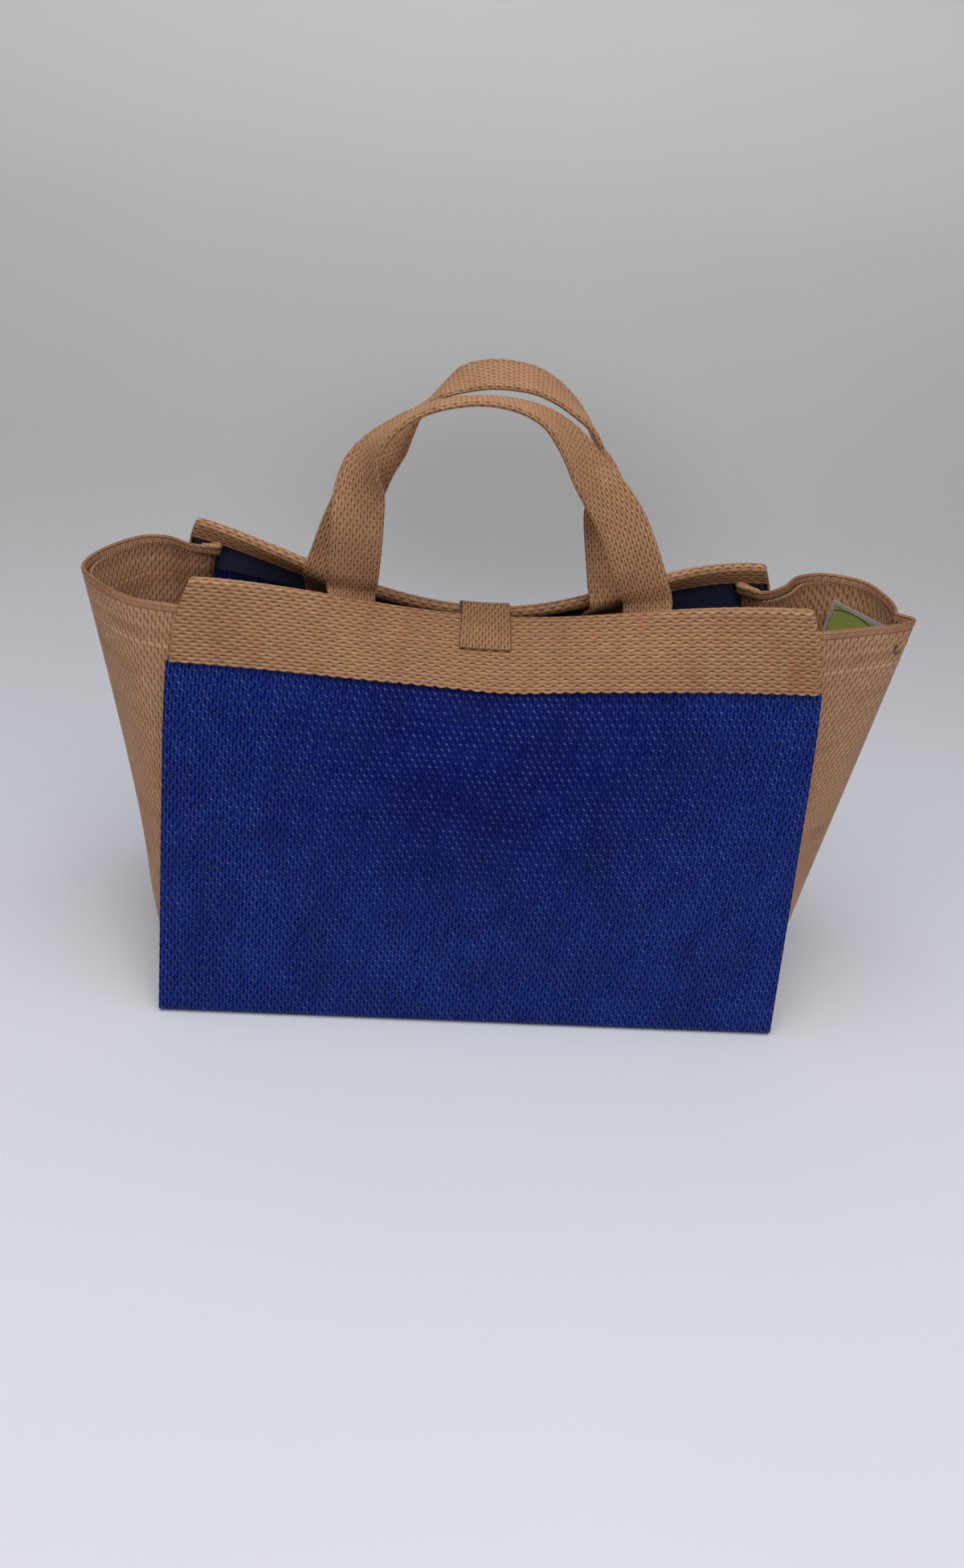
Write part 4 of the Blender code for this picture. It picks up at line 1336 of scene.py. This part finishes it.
@dataclass
class StrapHandle:
    """One webbing strap: two tucked ends and a free arch that twists to lie flat in the hand."""

    name: str
    course: WallCourse
    feet: Tuple[float, float]
    route: Tuple[Tuple[float, float, float, float], ...]
    width: float = 0.0245
    thickness: float = 0.0030
    tuck: float = 0.030
    band_turn: float = 0.007
    rise: float = 0.009
    steps: int = 25
    settle: int = 4
    cords_round: int = 34
    columns_per_cord: int = 3
    rows_per_float: int = 5
    weld: float = 0.00002
    probe: float = 0.01
    level_probe: float = 0.05
    finish: CordCloth = STRAP_WEBBING

    def tucked(self, foot: float) -> List[Tuple[Array, Array]]:
        """Centre and width direction of the rows inside the wall, lowest first."""
        rows = []
        for drop in (self.tuck, self.band_turn, -self.rise):
            h = 1 - drop / CUT.height
            us = self.course.u_at(foot + np.array([-0.5, 0.0, 0.5]) * self.width, h)
            ends = self.course.place(us, h, -CUT.strap_offset)
            rows.append((ends[1], unit(ends[2] - ends[0])))
        return rows

    def spine(self) -> Tuple[Array, Array]:
        """Centres and width directions from the left tucked end to the right one."""
        left, right = self.tucked(self.feet[0]), self.tucked(self.feet[1])
        top = 1 + self.rise / CUT.height
        starts = [left[-1][0], right[-1][0]]
        us = self.course.u_at(np.array(self.feet), top)
        levels = unit(self.course.place(us + self.level_probe, top)
                      - self.course.place(us - self.level_probe, top))
        course = np.array([(*starts[0], 0), *self.route, (*starts[1], 0)])
        t = np.arange(1, self.steps) / self.steps
        at = smooth_course(course, t)
        ahead = smooth_course(course, np.minimum(1, t + self.probe))[:, :3]
        behind = smooth_course(course, np.maximum(0, t - self.probe))[:, :3]
        tangent = unit(ahead - behind)
        outward = -unit(np.cross([0.0, 1.0, 0.0], tangent))
        twist = np.radians(at[:, 3])[:, None]
        width = -outward * np.cos(twist) + np.array([0, -1.0, 0]) * np.sin(twist)
        step = np.arange(1, self.steps)
        settled = eased(np.minimum(step, self.steps - step) / self.settle)[:, None]
        level = np.where(step[:, None] < self.steps / 2, levels[0], -levels[1])
        width = unit(level + (width - level) * settled)
        centres = [c for c, _ in left] + list(at[:, :3]) + [c for c, _ in reversed(right)]
        widths = [w for _, w in left] + list(width) + [-w for _, w in reversed(right)]
        return np.array(centres), np.array(widths)

    def build(self, material: Material) -> Object:
        """Builds the strap as a closed ribbed tube of flattened webbing."""
        centres, widths = self.spine()
        length = way_along(centres)[-1]
        weave = self.finish.weave
        t = np.linspace(0, 1, round(length / MM / weave.float_length * self.rows_per_float) + 1)
        spine = smooth_course(np.concatenate([centres, widths], 1), t)
        centre, width = spine[:, :3], unit(spine[:, 3:])
        tangent = unit(np.gradient(centre, axis=0))
        face = unit(np.cross(tangent, width))
        width = unit(np.cross(face, tangent))
        self.centre, self.width_way, self.face = centre, width, face

        def turned(sideways: Array, upwards: Array) -> Array:
            """The section's directions on every row."""
            return width[:, None] * sideways[:, None] + face[:, None] * upwards[:, None]

        radius = self.thickness / 2 - weave.height * MM / 2
        flat = self.width - 2 * radius
        round_it = 2 * flat + 2 * math.pi * radius
        s = np.linspace(0, round_it, self.cords_round * self.columns_per_cord + 1)
        core, angle = self.section(s, flat, radius)
        way = turned(np.cos(angle), np.sin(angle))
        points = centre[:, None] + turned(core, np.zeros_like(s)) + way * radius
        round_mm = self.cords_round * weave.pitch
        u_mm, v_mm = s / round_it * round_mm, t * length / MM + MAP_START
        raised = weave.relief(laid_out(np.mod(u_mm, round_mm - 1e-6), v_mm))
        raised[:, -1] = raised[:, 0]
        obj = shape_grid(self.name, points + way * raised[..., None], laid_out(u_mm, v_mm))
        with editing(obj):
            bpy.ops.mesh.remove_doubles(threshold=self.weld)
            bpy.ops.mesh.select_all(action="DESELECT")
            bpy.ops.mesh.select_non_manifold()
            bpy.ops.mesh.edge_face_add()
            bpy.ops.mesh.select_all(action="SELECT")
            bpy.ops.mesh.normals_make_consistent(inside=False)
        return dressed(obj, material, "tan_weave", self.name.rsplit("_", 1)[0])

    @staticmethod
    def section(s: Array, flat: float, radius: float) -> Tuple[Array, Array]:
        """The strap's cross-section by the way round it.

        Args:
            s: Distances round the section from the middle of its lower face.
            flat: Width of the flat part.
            radius: Radius of both edges.

        Returns:
            Place across on the section's middle line, and the angle of the way out.
        """
        arc = math.pi * radius
        marks = np.cumsum((0, flat / 2, arc, flat, arc, flat / 2))
        core = np.interp(s, marks, np.array((0, 1, 1, -1, -1, 0)) * flat / 2)
        angle = np.interp(s, marks, np.array((-1, -1, 1, 1, 3, 3)) * math.pi / 2)
        return core, angle


@dataclass
class ClosureTab:
    """The short folded tab from the back band over both edges down the front band."""

    name: str = "closure_tab_cloth"
    width: float = 0.0245
    centre: float = -0.006
    drop: float = 0.0175
    columns_per_cord: int = 3
    rows_per_float: int = 6
    finish: CordCloth = TAB_CLOTH

    def build(self, material: Material) -> Object:
        """Builds the tab."""
        weave = self.finish.weave
        cords = round(self.width / MM / weave.pitch)
        share = np.linspace(-0.5, 0.5, cords * self.columns_per_cord + 1)
        x, middle = self.centre + share * self.width, len(share) // 2
        rise = CUT.band_offset + CUT.band_cloth / 2 + CUT.clearance + CUT.tab_cloth / 2
        drops = (self.drop, self.drop / 2, 0.0, -rise / 2)
        legs = []
        for course in (FRONT, BACK):
            u = course.u_at(x, 1.0)
            legs.append([course.place(u, 1 - d / CUT.height, CUT.tab_offset) for d in drops])
        bow = []
        for part in (0.25, 0.5, 0.75):
            place = legs[0][-1] + (legs[1][-1] - legs[0][-1]) * part
            place[:, 2] += rise / 2 * math.sin(math.pi * part)
            bow.append(place)
        knots = np.array(legs[0] + bow + legs[1][::-1])
        length = way_along(knots[:, middle])[-1] / MM
        t = np.linspace(0, 1, round(length / weave.float_length * self.rows_per_float))
        points = np.stack([smooth_course(knots[:, c], t) for c in range(len(share))], 1)
        chart = laid_out((share + 0.5) * cords * weave.pitch + MAP_START * weave.pitch,
                         t * length + MAP_START)
        normals = grid_normals(points)
        if normals[2, middle, 1] > 0:
            normals = -normals
        lift = weave.relief(chart)
        obj = shape_grid(self.name, points + normals * (CUT.tab_cloth / 2 + lift)[..., None],
                         chart)
        turn = obj.data.polygons[2 * len(share)].normal.y > 0
        return made_up(obj, turn, CUT.tab_cloth, material, "tan_weave")


@dataclass
class StitchRow:
    """A row of sewing stitches, each one a short lens of thread lying on the cloth."""

    name: str
    length: float
    width: float
    height: float

    def build(self, places: Array, along: Array, out: Array,
              material: Material) -> Object:
        """Lays one stitch at each place.

        Args:
            places: Where the stitches lie.
            along: Which way each one runs.
            out: Away from the cloth at each one.
            material: The thread's finish.

        Returns:
            All the stitches as one piece.
        """
        bpy.ops.object.select_all(action="DESELECT")
        bpy.ops.mesh.primitive_uv_sphere_add(segments=6, ring_count=4, radius=0.5)
        single = bpy.context.object
        with editing(single):
            bpy.ops.transform.rotate(value=math.pi / 2, orient_axis="Y",
                                     center_override=(0, 0, 0))
        corners = np.array([v.co for v in single.data.vertices])
        faces = sorted(self.from_lowest(list(p.vertices)) for p in single.data.polygons)
        out = unit(out)
        along = unit(along - out * (along * out).sum(-1, keepdims=True))
        spread = places[:, None]
        axes = (along, np.cross(out, along), out)
        for i, (axis, size) in enumerate(zip(axes, (self.length, self.width, self.height))):
            spread = spread + axis[:, None] * corners[:, i:i + 1] * size
        made = bpy.data.meshes.new(self.name)
        made.from_pydata(spread.reshape(-1, 3).tolist(), [],
                         [[i + n * len(corners) for i in face]
                          for n in range(len(places)) for face in faces])
        bpy.data.objects.remove(single, do_unlink=True)
        return dressed(placed(self.name, made), material, "tan_weave")

    @staticmethod
    def from_lowest(face: List[int]) -> List[int]:
        """The same face read from its lowest point on, because the sphere primitive lists its
        faces in another order from run to run."""
        start = face.index(min(face))
        return face[start:] + face[:start]


@dataclass
class Studio:
    """Pale sweep, soft lights and the camera at the photograph's angle. lights holds each
    one's name, place, aim, size, power and colour."""

    lens: float = 29.52
    place: Point = (-0.048694, -0.585519, 0.455801)
    yaw: float = -4.8228
    pitch: float = 31.0351
    roll: float = 5.5630
    sensor: float = 36.0
    clip: Tuple[float, float] = (0.01, 20)
    floor: Tuple[float, float, float] = (16, 9.4, 1)
    floor_shift: Point = (0, -3.55, 0)
    back_from: float = 1.0
    back_height: float = 2.6
    bend: float = 0.75
    bend_segments: int = 24
    lights: Tuple[Tuple[str, Point, Point, float, float, str], ...] = (
        ("overhead_softbox", (-0.05, -0.35, 1.55), (0, 0.02, 0.1), 1.5, 21, "#FFFEFC"),
        ("front_fill", (0.25, -1.5, 0.8), (0, 0, 0.1), 1.2, 3, "#FFFFFF"))
    room_colour: str = "#EEEEF0"
    room_strength: float = 0.36

    def camera(self) -> Object:
        """Sets the camera up."""
        yaw, pitch, roll = (math.radians(a) for a in (self.yaw, self.pitch, self.roll))
        ahead = Vector((-math.sin(yaw) * math.cos(pitch), math.cos(yaw) * math.cos(pitch),
                        -math.sin(pitch)))
        right = Vector((math.cos(yaw), math.sin(yaw), 0))
        up = right.cross(ahead)
        right, up = (right * math.cos(roll) + up * math.sin(roll),
                     up * math.cos(roll) - right * math.sin(roll))
        data = bpy.data.cameras.new("photo_camera")
        data.lens, data.sensor_width = self.lens, self.sensor
        data.clip_start, data.clip_end = self.clip
        obj = placed("photo_camera", data)
        turn = Matrix((right, up, -ahead)).transposed().to_4x4()
        obj.matrix_world = Matrix.Translation(self.place) @ turn
        bpy.context.scene.camera = obj
        return obj

    def sweep(self) -> Object:
        """The backdrop: a floor that rises at the back in one wide curve."""
        bpy.ops.object.select_all(action="DESELECT")
        bpy.ops.mesh.primitive_plane_add(size=1)
        obj = named("backdrop_sweep")
        mesh = obj.data

        def pick_back(below: float) -> None:
            """Selects the edges at the back whose ends lie below this height."""
            for edge in mesh.edges:
                ends = [mesh.vertices[v].co for v in edge.vertices]
                edge.select = all(end.y > self.back_from and end.z < below for end in ends)

        with editing(obj):
            bpy.ops.transform.resize(value=self.floor)
            bpy.ops.transform.translate(value=self.floor_shift)
            bpy.ops.mesh.select_all(action="DESELECT")
        pick_back(math.inf)
        with editing(obj, everything=False):
            bpy.ops.mesh.extrude_region_move(
                TRANSFORM_OT_translate={"value": (0, 0, self.back_height)})
        pick_back(0.01)
        with editing(obj, everything=False):
            bpy.ops.mesh.bevel(offset=self.bend, segments=self.bend_segments, affect="EDGES")
        bpy.ops.object.shade_smooth()
        obj.data.materials.append(SweepPaper().build())
        return obj

    def light(self, name: str, place: Point, aim: Point, size: float, power: float,
              colour: str) -> None:
        """Adds one soft square light."""
        data = bpy.data.lights.new(name, "AREA")
        data.shape, data.size, data.energy = "SQUARE", size, power
        data.color = linear(colour)[:3]
        obj = placed(name, data)
        obj.location = place
        obj.rotation_euler = (Vector(aim) - Vector(place)).to_track_quat("-Z", "Y").to_euler()

    def build(self) -> None:
        """Sets up camera, sweep, lights and the room's own light."""
        self.camera()
        self.sweep()
        for settings in self.lights:
            self.light(*settings)
        world = bpy.data.worlds.new("room_light")
        bpy.context.scene.world = world
        world.use_nodes = True
        shade = world.node_tree.nodes["Background"]
        shade.inputs["Color"].default_value = linear(self.room_colour)
        shade.inputs["Strength"].default_value = self.room_strength
        bpy.context.scene.view_settings.view_transform = "Standard"


@dataclass
class HemStitches:
    """The overlock stitches along one gusset's rim. drops holds the outer and the inner row as
    (how far below the rim, way out)."""

    gusset: Gusset
    pitch: float = 0.0018
    bare_end: float = 0.0110
    stitch: Tuple[float, float, float] = (0.0025, 0.0007, 0.0007)
    outer_lift: float = 0.0006
    inner_sink: float = 0.0001
    lean: Tuple[float, float] = (0.5, 0.85)
    drops: Tuple[Tuple[float, int], ...] = ((0.0025, 1), (0.0040, -1))

    def build(self, material: Material) -> List[Object]:
        """Lays both rows."""
        gusset, made = self.gusset, []
        shown = slice(gusset.hidden_columns, -gusset.hidden_columns)
        for n, (drop, way) in enumerate(self.drops):
            back = max(1, round(drop / (gusset.height_mm * MM / gusset.rim_row)))
            line = gusset.lines[gusset.rim_row - back, shown]
            marks = way_along(line)
            at = np.arange(self.bare_end, marks[-1] - self.bare_end, self.pitch)
            places = read_at(at, marks, line)
            outs = unit(read_at(at, marks, gusset.outward[gusset.rim_row - back, shown] * way))
            along = unit(np.gradient(places, axis=0))
            lean = unit(along * self.lean[0] + np.cross(outs, along) * self.lean[1])
            depth = CUT.gusset_cloth / 2 + (self.outer_lift if way > 0 else
                                            2 * gusset.hem_radius - self.inner_sink)
            row = StitchRow(f"{gusset.name}_stitches_{n}", *self.stitch)
            made.append(row.build(places + outs * depth, lean, outs, material))
        return made


@dataclass
class CaughtThread:
    """A curl of dark thread on a gusset's outer face, caught in the cloth at both ends."""

    name: str = "right_gusset_dark_thread"
    seen_from: Point = (-0.0487, -0.5855, 0.4558)
    near: Point = (0.2005, -0.0085, 0.1995)
    radius: float = 0.00030
    curl_mm: Tuple[Tuple[float, float, float], ...] = (
        (-0.5, 0.5, -0.4), (-1.3, 0.3, 0.5), (-2.2, 0.8, 0.9), (-2.0, 1.9, 1.0),
        (-1.0, 2.3, 1.1), (-0.3, 1.6, 1.0), (-0.9, 0.7, 0.9), (-2.0, -0.1, 0.6),
        (-2.0, -1.3, 0.5), (-1.0, -2.4, 0.5), (0.6, -3.0, 0.5), (1.9, -2.7, 0.5),
        (2.5, -1.9, 0.3), (2.6, -1.4, -0.4))

    def build(self, cloth: Object, material: Material) -> Object:
        """Lays the thread on the cloth.

        Args:
            cloth: The gusset that it lies on.
            material: The thread's finish.

        Returns:
            The thread as a piece.
        """
        ray = Vector(self.near) - Vector(self.seen_from)
        _, place, normal, _ = cloth.ray_cast(Vector(self.seen_from), ray.normalized())
        side = Vector((0, 0, 1)).cross(normal).normalized()
        up = normal.cross(side)
        bpy.ops.object.select_all(action="DESELECT")
        bpy.ops.curve.primitive_nurbs_path_add()
        obj = named(self.name)
        spline = obj.data.splines[0]
        spline.points.add(len(self.curl_mm) - len(spline.points))
        for point, (across, rise, out) in zip(spline.points, self.curl_mm):
            at = place + (side * across + up * rise + normal * out) * MM
            point.co = (*at, 1.0)
        spline.use_endpoint_u = True
        obj.data.bevel_depth = self.radius
        obj.data.bevel_resolution = 2
        obj.data.use_fill_caps = True
        bpy.ops.object.convert(target="MESH")
        return dressed(obj, material, "navy_facing")


@dataclass
class StrapStitches:
    """The two rows of stitches along a strap's edges, on both faces."""

    strap: StrapHandle
    pitch: float = 0.0032
    inset: float = 0.0026
    bare_end: float = 0.034
    sink: float = 0.0001
    stitch: Tuple[float, float, float] = (0.0022, 0.0006, 0.0005)

    def build(self, material: Material) -> Object:
        """Lays the rows as one piece."""
        strap, rows = self.strap, []
        marks = way_along(strap.centre)
        at = np.arange(self.bare_end, marks[-1] - self.bare_end, self.pitch)
        for side in (-1, 1):
            for face in (-1, 1):
                line = (strap.centre + strap.width_way * side * (strap.width / 2 - self.inset)
                        + strap.face * face * (strap.thickness / 2 - self.sink))
                place = read_at(at, marks, line)
                rows.append((place, unit(np.gradient(place, axis=0)),
                             unit(read_at(at, marks, strap.face * face))))
        row = StitchRow(f"{strap.name}_stitches", *self.stitch)
        return row.build(*(np.concatenate(part) for part in zip(*rows)), material)


def sleeve_film(node: str) -> ClearFilm:
    """The film's finish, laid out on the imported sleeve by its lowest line.

    Args:
        node: The sleeve's node.

    Returns:
        The finish with its margins in place.
    """
    corners = np.array([v.co for v in frame["nodes"][node].data.vertices])
    near, far = corners[np.argmax(corners[:, 0])], corners[np.argmin(corners[:, 0])]
    flat = (far - near) * (1, 1, 0)
    length = float(np.linalg.norm(flat))
    return ClearFilm(start=tuple(float(c) for c in near),
                     along=tuple(float(c) for c in flat / length), length=length,
                     top=float(corners[:, 2].max()))


def main() -> None:
    """Builds every piece of the bag in order."""
    logging.basicConfig(level=logging.INFO, format="%(name)s %(message)s")
    Studio().build()
    band_finish, gusset_finish = BAND_CLOTH.build(), GUSSET_CLOTH.build()
    strap_finish, tape_and_shade_finish = STRAP_WEBBING.build(), NavyTapeAndShade().build()
    tan_thread = SewingThread("tan_polyester_thread", "#AE8B6E", "#8A6A50").build()
    body = BodyCloth().build(BLUE_CLOTH.build())
    bands = [MouthBand("front_band_cloth", FRONT, droop=((0.02, 0.16, 0.0016),)),
             MouthBand("back_band_cloth", BACK, rows_per_cord=2, columns_per_float=4)]
    for band in bands:
        band.build(band_finish)
    for strip in (FacingStrip("front_facing_tape", FRONT), FacingStrip("back_facing_tape", BACK)):
        strip.build(tape_and_shade_finish)
    gussets = [Gusset("left_gusset_cloth", Flank.LEFT, LEFT_RIM, (0.012, 0.0078), 1.15),
               Gusset("right_gusset_cloth", Flank.RIGHT, RIGHT_RIM, (0.009, 0.0078), 0.9)]
    for gusset in gussets:
        cloth = gusset.build(gusset_finish)
        stitches = HemStitches(gusset).build(tan_thread)
        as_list(stitches)
        if gusset.flank is Flank.RIGHT:
            CaughtThread().build(cloth, SewingThread("dark_polyester_thread", "#1E1D22",
                                                     "#34323A").build())
    straps = [StrapHandle("front_handle_strap", FRONT, (-0.0690, 0.0680), FRONT_ROUTE,
                          settle=2),
              StrapHandle("back_handle_strap", BACK, (-0.0830, 0.0540), BACK_ROUTE)]
    for strap in straps:
        strap.build(strap_finish)
        StrapStitches(strap).build(tan_thread)
    tab = ClosureTab().build(TAB_CLOTH.build())
    nodes = frame["nodes"]
    coated(nodes["label_card"], PrintedCard().build())
    coated(nodes["card_sleeve"], sleeve_film("card_sleeve").build())


if __name__ == "__main__":
    main()
